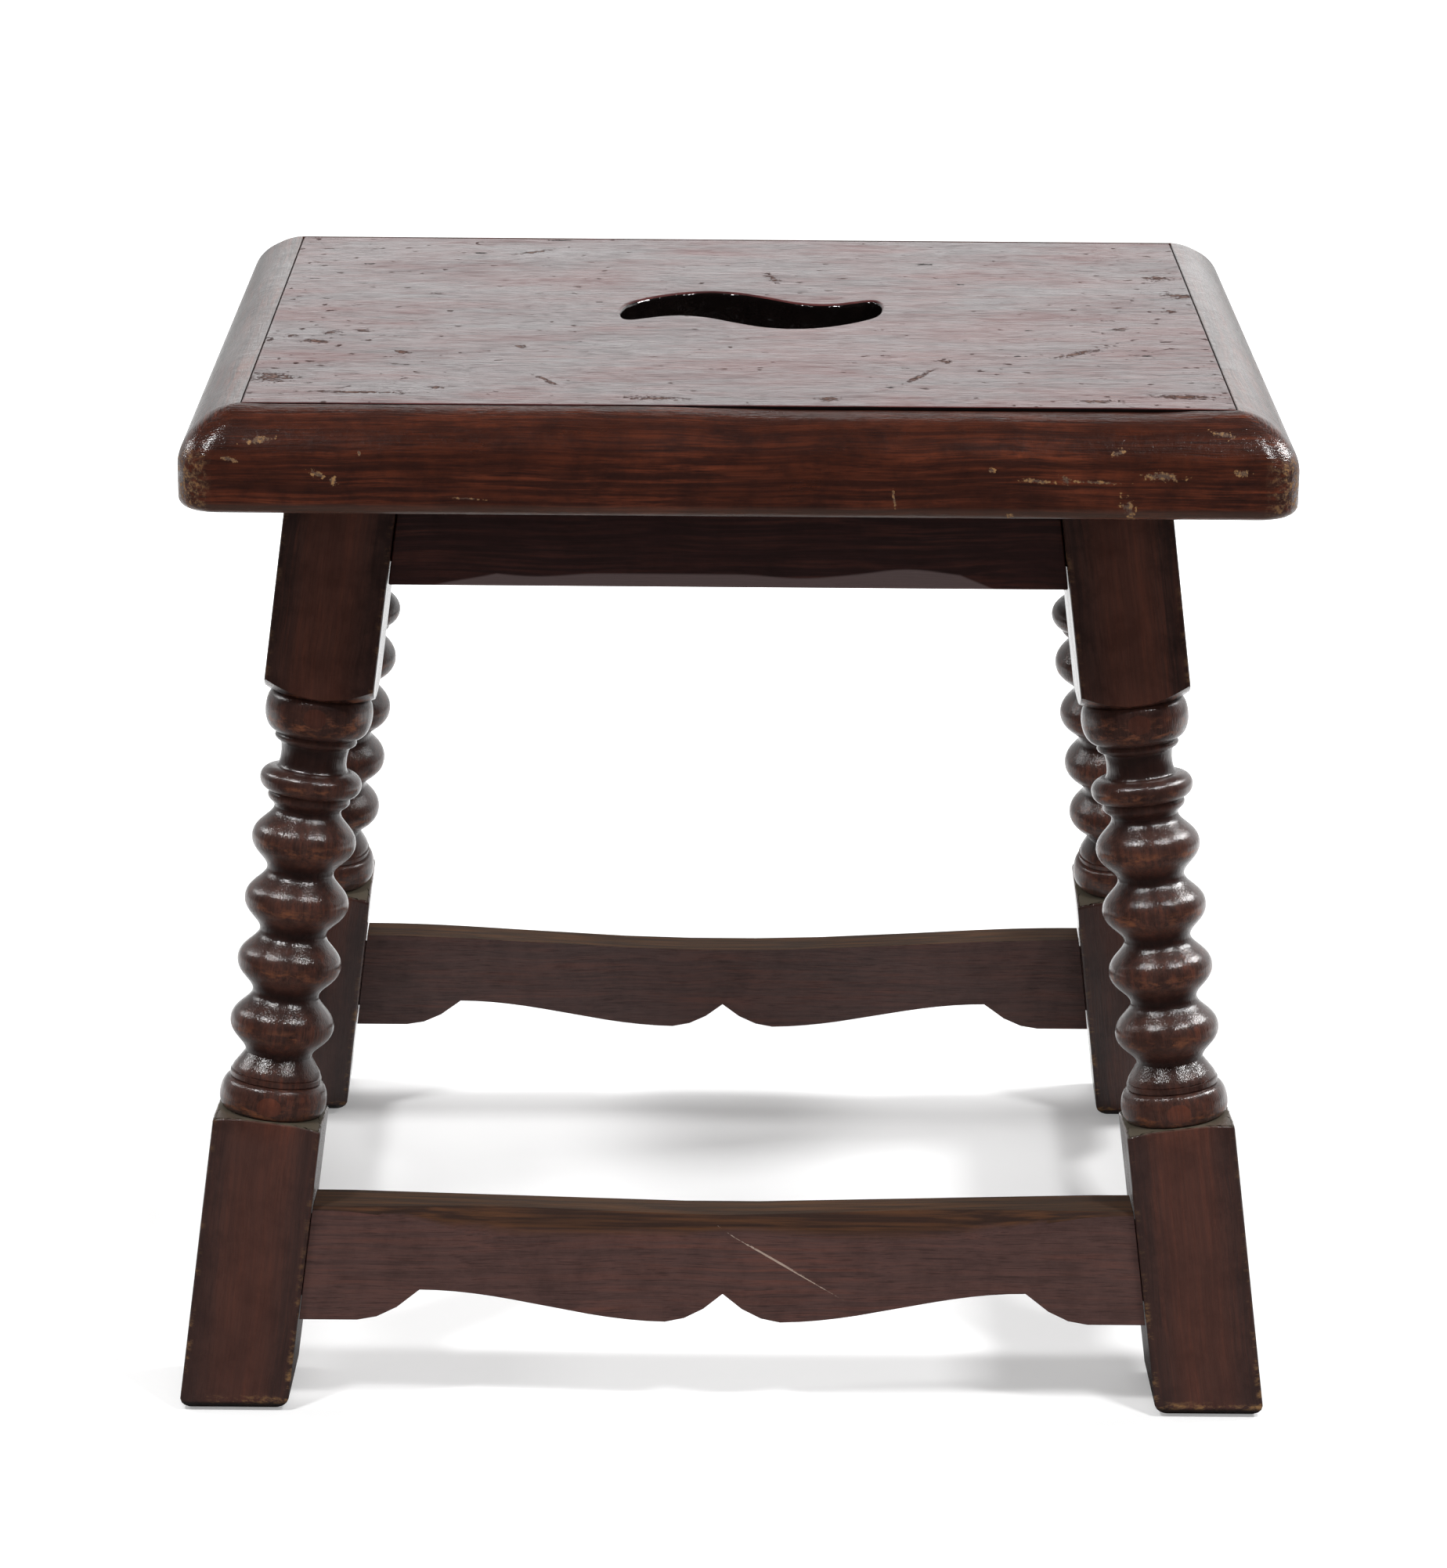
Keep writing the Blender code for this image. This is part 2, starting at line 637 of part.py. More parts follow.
def screw_rings(centre_x, centre_y, grow, overrun):
    """Rings of a countersunk screw driven upward, or of its hole with growth."""
    foot = FRAME_TOP - BLOCK_HEIGHT
    top = BOARD_UNDERSIDE + SCREW_BITE
    levels = [(foot, SCREW_HEAD_RADIUS), (foot + SCREW_HEAD_HEIGHT, SCREW_RADIUS),
              (top - SCREW_TIP, SCREW_RADIUS), (top, SCREW_RADIUS / 3)]
    if overrun:
        levels[0] = (foot, SCREW_HEAD_RADIUS)
        levels.insert(0, (foot - overrun, SCREW_HEAD_RADIUS))
        levels[-1] = (top, SCREW_RADIUS)
    rings = []
    for z, radius in levels:
        lift = grow if z == top else 0
        ring = []
        for i in range(SCREW_SIDES):
            angle = 2 * math.pi * i / SCREW_SIDES
            ring.append((centre_x + (radius + grow) * math.cos(angle),
                         centre_y + (radius + grow) * math.sin(angle), z + lift))
        rings.append(ring)
    return rings


def screw_place():
    """Screw's axis in the first quadrant, inside the block and clear of the leg."""
    corner_x, corner_y = block_outline(FRAME_TOP)[2]
    return corner_x - SCREW_INSET, corner_y - SCREW_INSET


def build_block(name, side_x, side_y, cutter, parent):
    """One corner block fitted between two rails and round a leg."""
    rings = []
    for z in (FRAME_TOP - BLOCK_HEIGHT, FRAME_TOP):
        rings.append([(side_x * x, side_y * y, z) for x, y in block_outline(z)])
    shape = bmesh.new()
    loft(shape, rings)
    place_x, place_y = screw_place()
    origin = (side_x * place_x, side_y * place_y, FRAME_TOP)
    block = make_object(name, shape, origin, "block", parent)
    cut(block, cutter)
    return block


def build_screw(name, side_x, side_y, parent):
    """One countersunk wood screw."""
    place_x, place_y = screw_place()
    shape = bmesh.new()
    loft(shape, screw_rings(side_x * place_x, side_y * place_y, 0, 0))
    origin = (side_x * place_x, side_y * place_y, FRAME_TOP - BLOCK_HEIGHT)
    return make_object(name, shape, origin, "screw", parent)


def main():
    """Model the stool."""
    clear_scene()
    stool = bpy.data.objects.new("stool", None)
    bpy.context.scene.collection.objects.link(stool)

    corners = (("front_left", -1, -1), ("front_right", 1, -1),
               ("back_left", -1, 1), ("back_right", 1, 1))

    board = build_board(stool)
    shape = bmesh.new()
    place_x, place_y = screw_place()
    for _, side_x, side_y in corners:
        loft(shape, screw_rings(side_x * place_x, side_y * place_y, CLEARANCE,
                                CUT_OVERRUN))
    screw_holes = make_object("screw_hole_cut", shape, (0, 0, FRAME_TOP), None, stool)
    cut(board, screw_holes)

    for turns, side in enumerate(("front", "right", "back", "left")):
        build_edge("seat_edge_" + side, turns, stool)

    for corner, side_x, side_y in corners:
        mortises = build_mortise_cutter("mortise_cut_" + corner, side_x, side_y, stool)
        build_leg("leg_" + corner, side_x, side_y, mortises, stool)
        build_block("corner_block_" + corner, side_x, side_y, screw_holes, stool)
        build_screw("seat_screw_" + corner, side_x, side_y, stool)

    for side, runs_along_x, sign in (("front", True, -1), ("back", True, 1),
                                     ("left", False, -1), ("right", False, 1)):
        build_rail("apron_" + side, "rail", runs_along_x, sign, 0, 0, stool)
        sag = {"front": FRONT_TOP_SAG, "back": BACK_TOP_SAG}.get(side, 0)
        worn = {"front": FRONT_WEAR_HEIGHT, "back": BACK_WEAR_HEIGHT}.get(side, 0)
        build_rail("stretcher_" + side, "stretcher", runs_along_x, sign, sag, worn, stool)


if __name__ == "__main__":
    main()
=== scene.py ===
"""Bobbin-turned stool with a hand hole in its framed seat.

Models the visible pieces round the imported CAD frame, gives them their finishes and
sets up the floor, the lamps and the camera.
"""

import json
import math

import bmesh
import bpy
from mathutils import Matrix, Vector

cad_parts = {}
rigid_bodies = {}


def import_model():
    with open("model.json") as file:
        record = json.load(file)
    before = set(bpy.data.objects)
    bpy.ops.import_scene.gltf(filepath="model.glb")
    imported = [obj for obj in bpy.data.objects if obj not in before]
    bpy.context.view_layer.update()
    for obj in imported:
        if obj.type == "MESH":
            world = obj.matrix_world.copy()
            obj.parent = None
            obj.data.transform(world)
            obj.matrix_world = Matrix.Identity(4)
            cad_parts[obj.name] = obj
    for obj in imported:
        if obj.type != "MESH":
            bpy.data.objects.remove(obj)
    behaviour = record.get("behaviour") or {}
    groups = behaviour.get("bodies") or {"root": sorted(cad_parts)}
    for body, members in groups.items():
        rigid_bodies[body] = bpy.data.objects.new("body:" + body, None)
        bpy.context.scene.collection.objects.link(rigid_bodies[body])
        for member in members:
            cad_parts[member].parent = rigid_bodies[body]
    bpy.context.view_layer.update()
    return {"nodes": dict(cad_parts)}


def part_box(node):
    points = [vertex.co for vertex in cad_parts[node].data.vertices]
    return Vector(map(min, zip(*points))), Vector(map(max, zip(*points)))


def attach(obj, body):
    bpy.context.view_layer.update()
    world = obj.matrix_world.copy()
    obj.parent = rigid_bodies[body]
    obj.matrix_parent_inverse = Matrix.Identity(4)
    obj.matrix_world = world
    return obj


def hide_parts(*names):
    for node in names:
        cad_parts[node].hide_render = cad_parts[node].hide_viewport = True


bl_info = {
    "name": "Bobbin-turned Stool",
    "version": (1, 0, 0),
    "blender": (4, 5, 0),
    "location": "3D View > Sidebar > Stool",
    "description": "Models a stained and varnished stool with turned legs and a framed seat",
    "category": "Object",
}

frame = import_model()

# Places that the CAD frame gives, in metres
CLEARANCE = 0.0003
TONGUE_LENGTH = 0.007
SEAT_LOW, SEAT_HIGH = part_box("seat_board")
SEAT_CENTRE = (SEAT_LOW + SEAT_HIGH) / 2
BOARD_HALF_X = (SEAT_HIGH.x - SEAT_LOW.x) / 2 - TONGUE_LENGTH
BOARD_HALF_Y = (SEAT_HIGH.y - SEAT_LOW.y) / 2 - TONGUE_LENGTH
SEAT_TOP = SEAT_HIGH.z
BOARD_UNDERSIDE = SEAT_LOW.z
EDGE_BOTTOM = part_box("seat_edge_front")[0].z
FRAME_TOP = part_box("leg_front_left")[1].z
RAIL_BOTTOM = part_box("apron_front")[0].z

# How the legs stand: foot and lean of the axis towards the middle
FOOT_AXIS_X = 0.1997
FOOT_AXIS_Y = 0.15905
LEAN_X = 0.0497 / FRAME_TOP
LEAN_Y = 0.0553 / FRAME_TOP

# Beyond this reach to the side, a leg is a square block
TURNED_REACH = 0.0212

# Along the grain from piece to piece, so that no two show the same wood
WOOD_SHIFTS = (0.0, 0.7, 1.4, 2.1)
# How far the grain wanders to the sides
GRAIN_SWAY = (0.0, 0.008, 0.008)

# Middle of the hand hole, from the board's own
HOLE_OFFSET_X = 0.0058
HOLE_OFFSET_Y = 0.0140
# Outline of the hand hole's left to right side, as shares of its half length and width
HOLE_SIDE_SHARES = (
    (-1.00, -0.23), (-0.95, 0.27), (-0.78, 0.63), (-0.55, 0.90), (-0.32, 1.00),
    (-0.10, 0.92), (0.11, 0.69), (0.31, 0.43), (0.50, 0.31), (0.67, 0.34),
    (0.82, 0.47), (0.95, 0.55),
)
HOLE_CURVE_STEPS = 8

# Parts that the edging is divided into along its length
EDGE_PARTS = 48

# Plain parts of the turning, as (height, radius) from where each begins: scribed lines
# over the foot's bead, the rise from the bobbins to the thin ring, and the neck between
# that ring and the bead under the head block
TURNED_SCRIBES = (
    (0.0134, 0.0181), (0.0138, 0.0186), (0.0156, 0.0186), (0.0160, 0.0178),
    (0.0164, 0.0181), (0.0178, 0.0176),
)
TURNED_RISE = (
    (0.0010, 0.0139), (0.0020, 0.0149), (0.0028, 0.0159), (0.0036, 0.0165),
    (0.0046, 0.0167), (0.0056, 0.0165), (0.0062, 0.0161), (0.0065, 0.0160),
)
TURNED_NECK = (
    (0.0010, 0.0138), (0.0030, 0.0134), (0.0060, 0.0133), (0.0090, 0.0137),
    (0.0102, 0.0145), (0.0108, 0.0156), (0.0113, 0.0162), (0.0122, 0.0166),
    (0.0131, 0.0164), (0.0137, 0.0159), (0.0142, 0.0161),
)

# Two small lamps make the highlights, the wide ones only fill: name, place, size in
# metres, power in watts, and whether it shines in the varnish
LAMPS = (
    ("left key", (-1.00, -0.80, 2.10), 0.26, 22, True),
    ("right key", (1.00, -0.85, 2.10), 0.26, 20, True),
    ("left side", (-1.78, 0.47, 1.24), 0.34, 8, True),
    ("right side", (1.61, 0.40, 1.50), 0.36, 27, True),
    ("front fill", (0.0, -2.20, 0.90), 1.60, 9, False),
    ("top fill", (0.0, 0.9, 2.2), 1.60, 20, False),
)
LAMP_TARGET = (0, 0, 0.25)

# The camera stands two metres away and looks down 18.8 degrees
CAMERA_PLACE = (-0.0065806, -1.972496, 0.881239)
CAMERA_YAW = 0.0029
CAMERA_PITCH = 0.3274
CAMERA_ROLL = 0.0084
CAMERA_LENS = 120.32

# Marks in millimetres: middle, half length, half width and turn in degrees.
# On the board x runs to the right and y to the back
BOARD_CHIPS = (
    (137, -60, 13.2, 2.4, 39), (-183, -39, 4.3, 2.2, -37), (-172, -48, 6.5, 3.0, -12),
    (-167, -32, 3.2, 3.0, 2), (-154, -29, 3.1, 3.0, -40), (-136, -65, 4.2, 2.4, -41),
    (-185, -109, 7.6, 6.8, -20), (-76, -111, 9.2, 1.4, -62), (-88, 123, 10.0, 1.8, 36),
    (181, 79, 5.4, 4.5, -20), (189, 45, 8.2, 4.5, -25), (159, -17, 3.2, 3.0, -29),
    (72, -100, 13.2, 1.4, 63), (83, -74, 3.0, 3.0, 63), (182, 16, 3.5, 3.0, 57),
    (15, 74, 9.0, 2.2, -76), (-89, -54, 3.7, 2.1, -45), (174, -130, 12.0, 3.3, -4),
    (35, -137, 4.0, 3.8, -40), (-33, -138, 11.0, 2.7, -8), (-119, -124, 2.4, 2.4, 0),
    (-150, -132, 20.0, 1.4, -2), (140, -138, 8.0, 2.1, 4),
)
BOARD_DENTS = (
    (163, -63, 4.2, 1.2, 2), (82, 103, 3.4, 1.6, 5), (-113, 119, 2.4, 1.2, 0),
    (114, -65, 2.4, 0.9, 0), (-79, 146, 6.0, 1.0, 2), (-60, 70, 1.5, 1.2, 0),
    (-160, 96, 2.5, 1.0, 0), (-48, 6, 2.0, 1.4, 0), (120, -20, 2.0, 0.8, 10),
    (60, -118, 2.2, 1.0, 0), (-128, 40, 1.8, 1.2, 0), (96, 64, 2.0, 1.0, -12),
)
# On the front edging x runs to the right and y is the height over the floor
EDGE_CHIPS = (
    (-162, 394.8, 3.1, 1.0, -23), (-156, 392.2, 1.9, 1.5, -10), (-146, 403.0, 1.7, 0.5, -70),
    (115, 394.2, 5.4, 0.8, -5), (126, 394.6, 2.2, 1.5, -43), (138, 393.9, 9.0, 0.5, -2),
    (163, 396.4, 7.5, 1.6, -4), (187, 411.0, 4.2, 1.0, -12), (194, 397.8, 3.1, 1.1, 0),
    (150, 383.5, 2.0, 4.6, 20), (60, 386.6, 0.5, 3.2, 10), (97, 398.2, 1.3, 0.8, 0),
    (-196, 400.3, 3.7, 0.7, -12), (105, 380.1, 1.4, 0.9, 0), (-105, 385.6, 5.3, 0.4, -3),
    (-185, 407.0, 5.0, 1.2, 5), (146, 405.0, 2.6, 1.2, 10),
)
STRETCHER_SCRATCH = ((24.5, 61.9, 26.5, 0.30, -30.2), (21.0, 64.4, 14.0, 0.18, -30.0))


def srgb(code):
    """Linear colour, with its alpha, of an sRGB hex value."""
    channels = [int(code[i:i + 2], 16) / 255 for i in (0, 2, 4)]
    return tuple(c / 12.92 if c <= 0.04045 else ((c + 0.055) / 1.055) ** 2.4
                 for c in channels) + (1.0,)


def length(name, text, default):
    """A size property in metres."""
    return bpy.props.FloatProperty(name=name, description=text, default=default,
                                   unit="LENGTH", precision=5, min=0)


def colour(name, text, code):
    """A colour property from an sRGB hex value."""
    return bpy.props.FloatVectorProperty(name=name, description=text, size=4, min=0, max=1,
                                         subtype="COLOR", default=srgb(code))


class StoolSizes(bpy.types.PropertyGroup):
    """Sizes of the stool's visible shapes."""

    board_arris: length("Board arris", "Rounding of the board's upper edges", 0.0013)
    open_seam: length("Open seam", "Gap where the board has shrunk from the edging", 0.0009)
    seam_step: length("Seam step", "How far the edging has sunk there", 0.0013)
    hole_length: length("Hole length", "Length of the hand hole", 0.109)
    hole_width: length("Hole width", "Width that the hand hole's curve is drawn in", 0.065)
    hole_arris: length("Hole arris", "Rounding of the hand hole's upper rim", 0.0020)
    edge_width: length("Edging width", "Width of the edging beside the board", 0.0237)
    edge_drop: length("Nose drop", "Height of the edging's rounded nose", 0.022)
    edge_fall: length("Nose fall", "How much the nose falls away from the seam", 0.0008)
    edge_foot: length("Edging foot", "Rounding under the edging's nose", 0.005)
    edge_corner: length("Edging corner", "Rounding of the seat's corners in plan", 0.012)
    leg_section: length("Leg section", "Side of the legs' square blocks", 0.044)
    leg_arris: length("Leg arris", "Rounding along the head blocks' arrises", 0.0016)
    foot_shoulder: length("Foot shoulder", "Drop of the lathe's cut over a foot's corners",
                          0.0024)
    head_shoulder: length("Head shoulder", "Rise of the lathe's cut under a head's corners",
                          0.0085)
    foot_rim: length("Foot block rim", "Rounding of the foot block's edges", 0.0012)
    foot_block: length("Foot block", "Length of the foot's square block", 0.120)
    foot_round: length("Foot rounding", "Rounding round the sole of a foot", 0.005)
    bobbin_radius: length("Bobbin radius", "Radius of the bobbins", 0.0211)
    waist_radius: length("Waist radius", "Radius between the bobbins", 0.0135)
    bobbin_pitch: length("Bobbin pitch", "Distance from bobbin to bobbin", 0.0256)
    rail_arris: length("Rail arris", "Rounding along rails and stretchers", 0.0009)


class StoolColours(bpy.types.PropertyGroup):
    """Colours of the stool's finishes."""

    board: colour("Board", "Stained wood of the seat board", "3e2124")
    edge: colour("Edging", "Stained wood of the edging", "391a10")
    leg: colour("Legs", "Stained wood of the legs", "3f2923")
    rail: colour("Rails", "Stained wood of the rails", "281514")
    stretcher: colour("Stretchers", "Stained wood of the stretchers", "4e3733")
    # Also mixed over the leg heads as painted shade under the seat
    streak: colour("Streaks", "Dark grain lines", "1c0f0d")
    warm: colour("Warm wood", "Wood that shows through where the stain is thin", "7a3a20")
    rosy: colour("Rosy wood", "Red of the board in broad patches", "602e2c")
    flaked: colour("Flake outline", "Dark outline of the board's flaked varnish", "26100b")
    chipped: colour("Flaked varnish", "Wood under the board's flaked varnish", "54301f")
    worn: colour("Worn wood", "Bare wood on worn edges", "86643f")
    rubbed: colour("Rubbed wood", "Stain rubbed thin on the bobbins", "6e4028")
    trodden: colour("Trodden wood", "Worn upper edge of the stretchers", "2b1c14")
    bruised: colour("Bruised wood", "Lines in the stretchers' worn edge", "4e311c")
    # Painted reflection: this grey is mixed over the feet in place of the white floor's
    # reflection
    painted_floor_reflection: colour("Hazy stain", "Greyer stain of the feet", "3a2b29")
    dull: colour("Dull stain", "Dull band along the edging's bottom", "4a3a32")
    # Paler band along the rails' lower edge, with a wavy upper line
    pale_lower_band: colour("Polished band", "Paler band along the rails", "5a4b4a")
    scratch: colour("Scratch", "Pale scratch in the varnish", "978579")
    # Also the black of the hole wall and the open seam's sides, where it is partly painted
    # shade
    grime: colour("Grime", "Old dirt and thick varnish", "0f0b0a")
    dust: colour("Dust", "Dust held in the corners", "5d574a")
    raw: colour("Raw wood", "Unstained wood of the corner blocks", "a87f55")
    rings: colour("Year rings", "Year rings of the corner blocks", "7c5531")
    steel: colour("Steel", "Steel of the screws", "8d8a86")
    rust: colour("Rust", "Rust freckles on the screws", "6b3d22")


# Modelling helpers

def clear_selection():
    """Leaves nothing selected, in object mode."""
    if bpy.context.object and bpy.context.object.mode != "OBJECT":
        bpy.ops.object.mode_set(mode="OBJECT")
    bpy.ops.object.select_all(action="DESELECT")


def work_on(piece):
    """Makes a piece the only selected one."""
    clear_selection()
    piece.select_set(True)
    bpy.context.view_layer.objects.active = piece


def choose(piece, test, kind="VERT"):
    """Selects the vertices, edges or faces of a piece in edit mode that pass a test."""
    bpy.ops.mesh.select_mode(type=kind)
    bpy.ops.mesh.select_all(action="DESELECT")
    shape = bmesh.from_edit_mesh(piece.data)
    parts = {"VERT": shape.verts, "EDGE": shape.edges, "FACE": shape.faces}[kind]
    for part in parts:
        if test(part):
            part.select_set(True)
    bmesh.update_edit_mesh(piece.data)


def middle(part):
    """Middle of an edge or a face."""
    return sum((v.co for v in part.verts), Vector()) / len(part.verts)


def add_outline(name, places):
    """A filled outline whose corners stand at the given places."""
    clear_selection()
    bpy.ops.mesh.primitive_circle_add(vertices=len(places), radius=1, fill_type="NGON")
    piece = bpy.context.object
    piece.name = name
    for vertex, place in zip(piece.data.vertices, places):
        vertex.co = place
    return piece


def apply_modifier(piece, kind, **settings):
    """Adds a modifier with its settings and applies it."""
    work_on(piece)
    modifier = piece.modifiers.new(kind.lower(), kind)
    for key, value in settings.items():
        setattr(modifier, key, value)
    bpy.ops.object.modifier_apply(modifier=modifier.name)


def cut_with(piece, cutter, operation):
    """Cuts a piece with another one, which goes."""
    apply_modifier(piece, "BOOLEAN", operation=operation, object=cutter, solver="EXACT")
    bpy.data.objects.remove(cutter)


def own_copy(piece, name):
    """A copy of a piece with its own mesh."""
    work_on(piece)
    bpy.ops.object.duplicate()
    copy = bpy.context.object
    copy.name = name
    copy.data.name = name
    return copy


def keep_grain(piece, place_of):
    """Stores where each point lies in the wood: along the grain, across it and in depth."""
    grain = piece.data.attributes.new("grain", "FLOAT_VECTOR", "POINT")
    for vertex, value in zip(piece.data.vertices, grain.data):
        value.vector = place_of(vertex.co)


def finish_shading(piece, degrees=32):
    """Smooth faces with crisp edges, flat faces kept flat."""
    work_on(piece)
    bpy.ops.object.shade_smooth_by_angle(angle=math.radians(degrees))
    apply_modifier(piece, "WEIGHTED_NORMAL", keep_sharp=True, weight=80)


def settle(piece, node, slot, *finishes):
    """Gives a finished piece its finishes and its place in the frame."""
    piece.data.materials.clear()
    for finish in finishes:
        piece.data.materials.append(finish)
    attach(piece, "root")
    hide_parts(node)


# Finishes

def new_material(name):
    """An empty node material."""
    material = bpy.data.materials.new(name)
    material.use_nodes = True
    material.node_tree.nodes.clear()
    return material


def add_node(tree, kind, inputs=None, **settings):
    """A node with its settings; an input is a node or socket to link, or a value to set."""
    node = tree.nodes.new("ShaderNode" + kind)
    for key, value in settings.items():
        setattr(node, key, value)
    for key, value in (inputs or {}).items():
        if isinstance(value, bpy.types.Node):
            value = next(output for output in value.outputs if output.enabled)
        if isinstance(value, bpy.types.NodeSocket):
            tree.links.new(value, node.inputs[key])
        else:
            node.inputs[key].default_value = value
    return node


def site_depth(tree, place, ragged, sites):
    """How far inside the ragged outline of its marks a surface lies, below 0 outside.

    A site is its middle, half length and half width, all in millimetres, and its turn in
    degrees, on the first two directions of the place.
    """
    nearest = 9.0
    for x, y, half_long, half_wide, degrees in sites:
        spot = add_node(tree, "Mapping", {"Vector": place, "Location": (x / 1000, y / 1000, 0),
                                          "Rotation": (0, 0, math.radians(degrees)),
                                          "Scale": (half_long / 1000, half_wide / 1000, 100)},
                        vector_type="TEXTURE")
        away = add_node(tree, "VectorMath", {0: spot}, operation="LENGTH")
        nearest = add_node(tree, "Math", {0: nearest, 1: away}, operation="MINIMUM")
    edge = add_node(tree, "Math", {0: ragged, 1: 6.5, 2: -2.35}, operation="MULTIPLY_ADD")
    return add_node(tree, "Math", {0: edge, 1: nearest}, operation="SUBTRACT")


def site_marks(tree, place, ragged, sites):
    """Share of a surface inside the marks at their sites."""
    return add_node(tree, "MapRange", {0: site_depth(tree, place, ragged, sites), 2: 0.25})


def stained_wood(name, stain, colours, details, look):
    """Hardwood stained dark and varnished by hand.

    The stain leaves dark lines along the grain and warm wood where it is thin. The
    varnish gives a clear gloss that breaks up along the grain, and is gone where hands,
    shoes and furniture have worn it through.
    """
    material = new_material(name)
    tree = material.node_tree
    place = add_node(tree, "Attribute", attribute_name="grain").outputs["Vector"]
    # The grain wanders by a few millimetres over a hand's length
    sway = add_node(tree, "TexNoise", {"Vector": place, "Scale": 11.0,
                                       "Detail": 2.0}).outputs["Color"]
    sway = add_node(tree, "VectorMath", {0: sway, 1: (0.5, 0.5, 0.5)}, operation="SUBTRACT")
    sway = add_node(tree, "VectorMath", {0: sway, 1: GRAIN_SWAY}, operation="MULTIPLY")
    wood = add_node(tree, "VectorMath", {0: place, 1: sway}, operation="ADD")
    bands, pores, clouds, drifts = (
        add_node(tree, "TexNoise", {
            "Vector": add_node(tree, "Mapping", {"Vector": wood, "Scale": stretch}),
            "Scale": 1.0, "Detail": detail, "Roughness": roughness})
        for stretch, detail, roughness in (
            # Grain bands 2 mm wide and 80 mm long, and pores 0.5 mm wide and 14 mm long
            ((12, 480, 480), 4.0, 0.65),
            ((75, 2000, 2000), 2.0, 0.5),
            # Patches of a few centimetres where the stain took more or less
            ((14, 40, 40), 3.0, 0.6),
            # Drifts a few centimetres wide and a hand long where the varnish has dulled
            ((9, 55, 55), 5.0, 0.6)))
    # Ragged patches of a millimetre or two, and spots of old dirt
    nibble = add_node(tree, "TexNoise", {"Vector": place, "Scale": 420.0, "Detail": 7.0,
                                         "Roughness": 0.74})
    dirt = add_node(tree, "TexNoise", {"Vector": wood, "Scale": 75.0, "Detail": 6.0,
                                       "Roughness": 0.7})
    # Each share goes from one value to another while its pattern does
    share = {}
    for key, pattern, start, end, first, last in (
            ("dirt", dirt, 0.44, 0.68, 0.0, look["dirt"]),
            ("dark", bands, 0.54, 0.36, 0.0, look["streak"]),
            ("band", bands, 0.46, 0.64, 0.0, 1.0),
            ("warm", clouds, 0.40, 0.68, 0.15 * look["warm"], look["warm"]),
            ("pore", pores, 0.44, 0.35, 0.0, look["pore"]),
            ("gloss", clouds, 0.3, 0.7, *look["gloss"]),
            # The varnish has sunk into the pores and dulled in patches
            ("sunk", pores, 0.52, 0.34, 0.0, look["sunk"]),
            ("dulled", drifts, 0.36, 0.64, look["dull"], 0.0),
            ("thinned", clouds, 0.42, 0.66, 0.0, look["thin"])):
        share[key] = add_node(tree, "MapRange", {0: pattern, 1: start, 2: end, 3: first,
                                                 4: last})
    share["warm"] = add_node(tree, "Math", {0: share["warm"], 1: share["band"]},
                             operation="MULTIPLY")
    tone = tuple(stain)
    for key, over in (("dark", colours.streak), ("warm", colours.warm),
                      ("pore", colours.streak), ("dirt", colours.streak)):
        tone = add_node(tree, "Mix", {0: share[key], 6: tone, 7: tuple(over)},
                        data_type="RGBA")
    tone, bare = details(tree, place, nibble, clouds, tone, colours)
    gloss = add_node(tree, "Math", {0: bare, 1: 0.3, 2: share["gloss"]},
                     operation="MULTIPLY_ADD")
    lost = share["sunk"]
    for more in (share["dulled"], share["thinned"], bare):
        lost = add_node(tree, "Math", {0: lost, 1: more}, operation="ADD")
    coat = add_node(tree, "Math", {0: look["coat"], 1: lost}, operation="SUBTRACT",
                    use_clamp=True)
    relief = pores
    for pattern, depth in ((bands, 0.6), (nibble, 0.35), (dirt, look["uneven"])):
        relief = add_node(tree, "Math", {0: pattern, 1: depth, 2: relief},
                          operation="MULTIPLY_ADD")
    bump = add_node(tree, "Bump", {"Strength": look["bump"], "Distance": 0.0003,
                                   "Height": relief})
    surface = add_node(tree, "BsdfPrincipled", {
        "Base Color": tone, "Roughness": gloss, "IOR": 1.5, "Specular IOR Level": 0.15,
        "Coat Weight": coat, "Coat Roughness": look["coat_roughness"], "Coat IOR": 1.5,
        "Normal": bump, "Coat Normal": bump})
    add_node(tree, "OutputMaterial", {"Surface": surface})
    return material


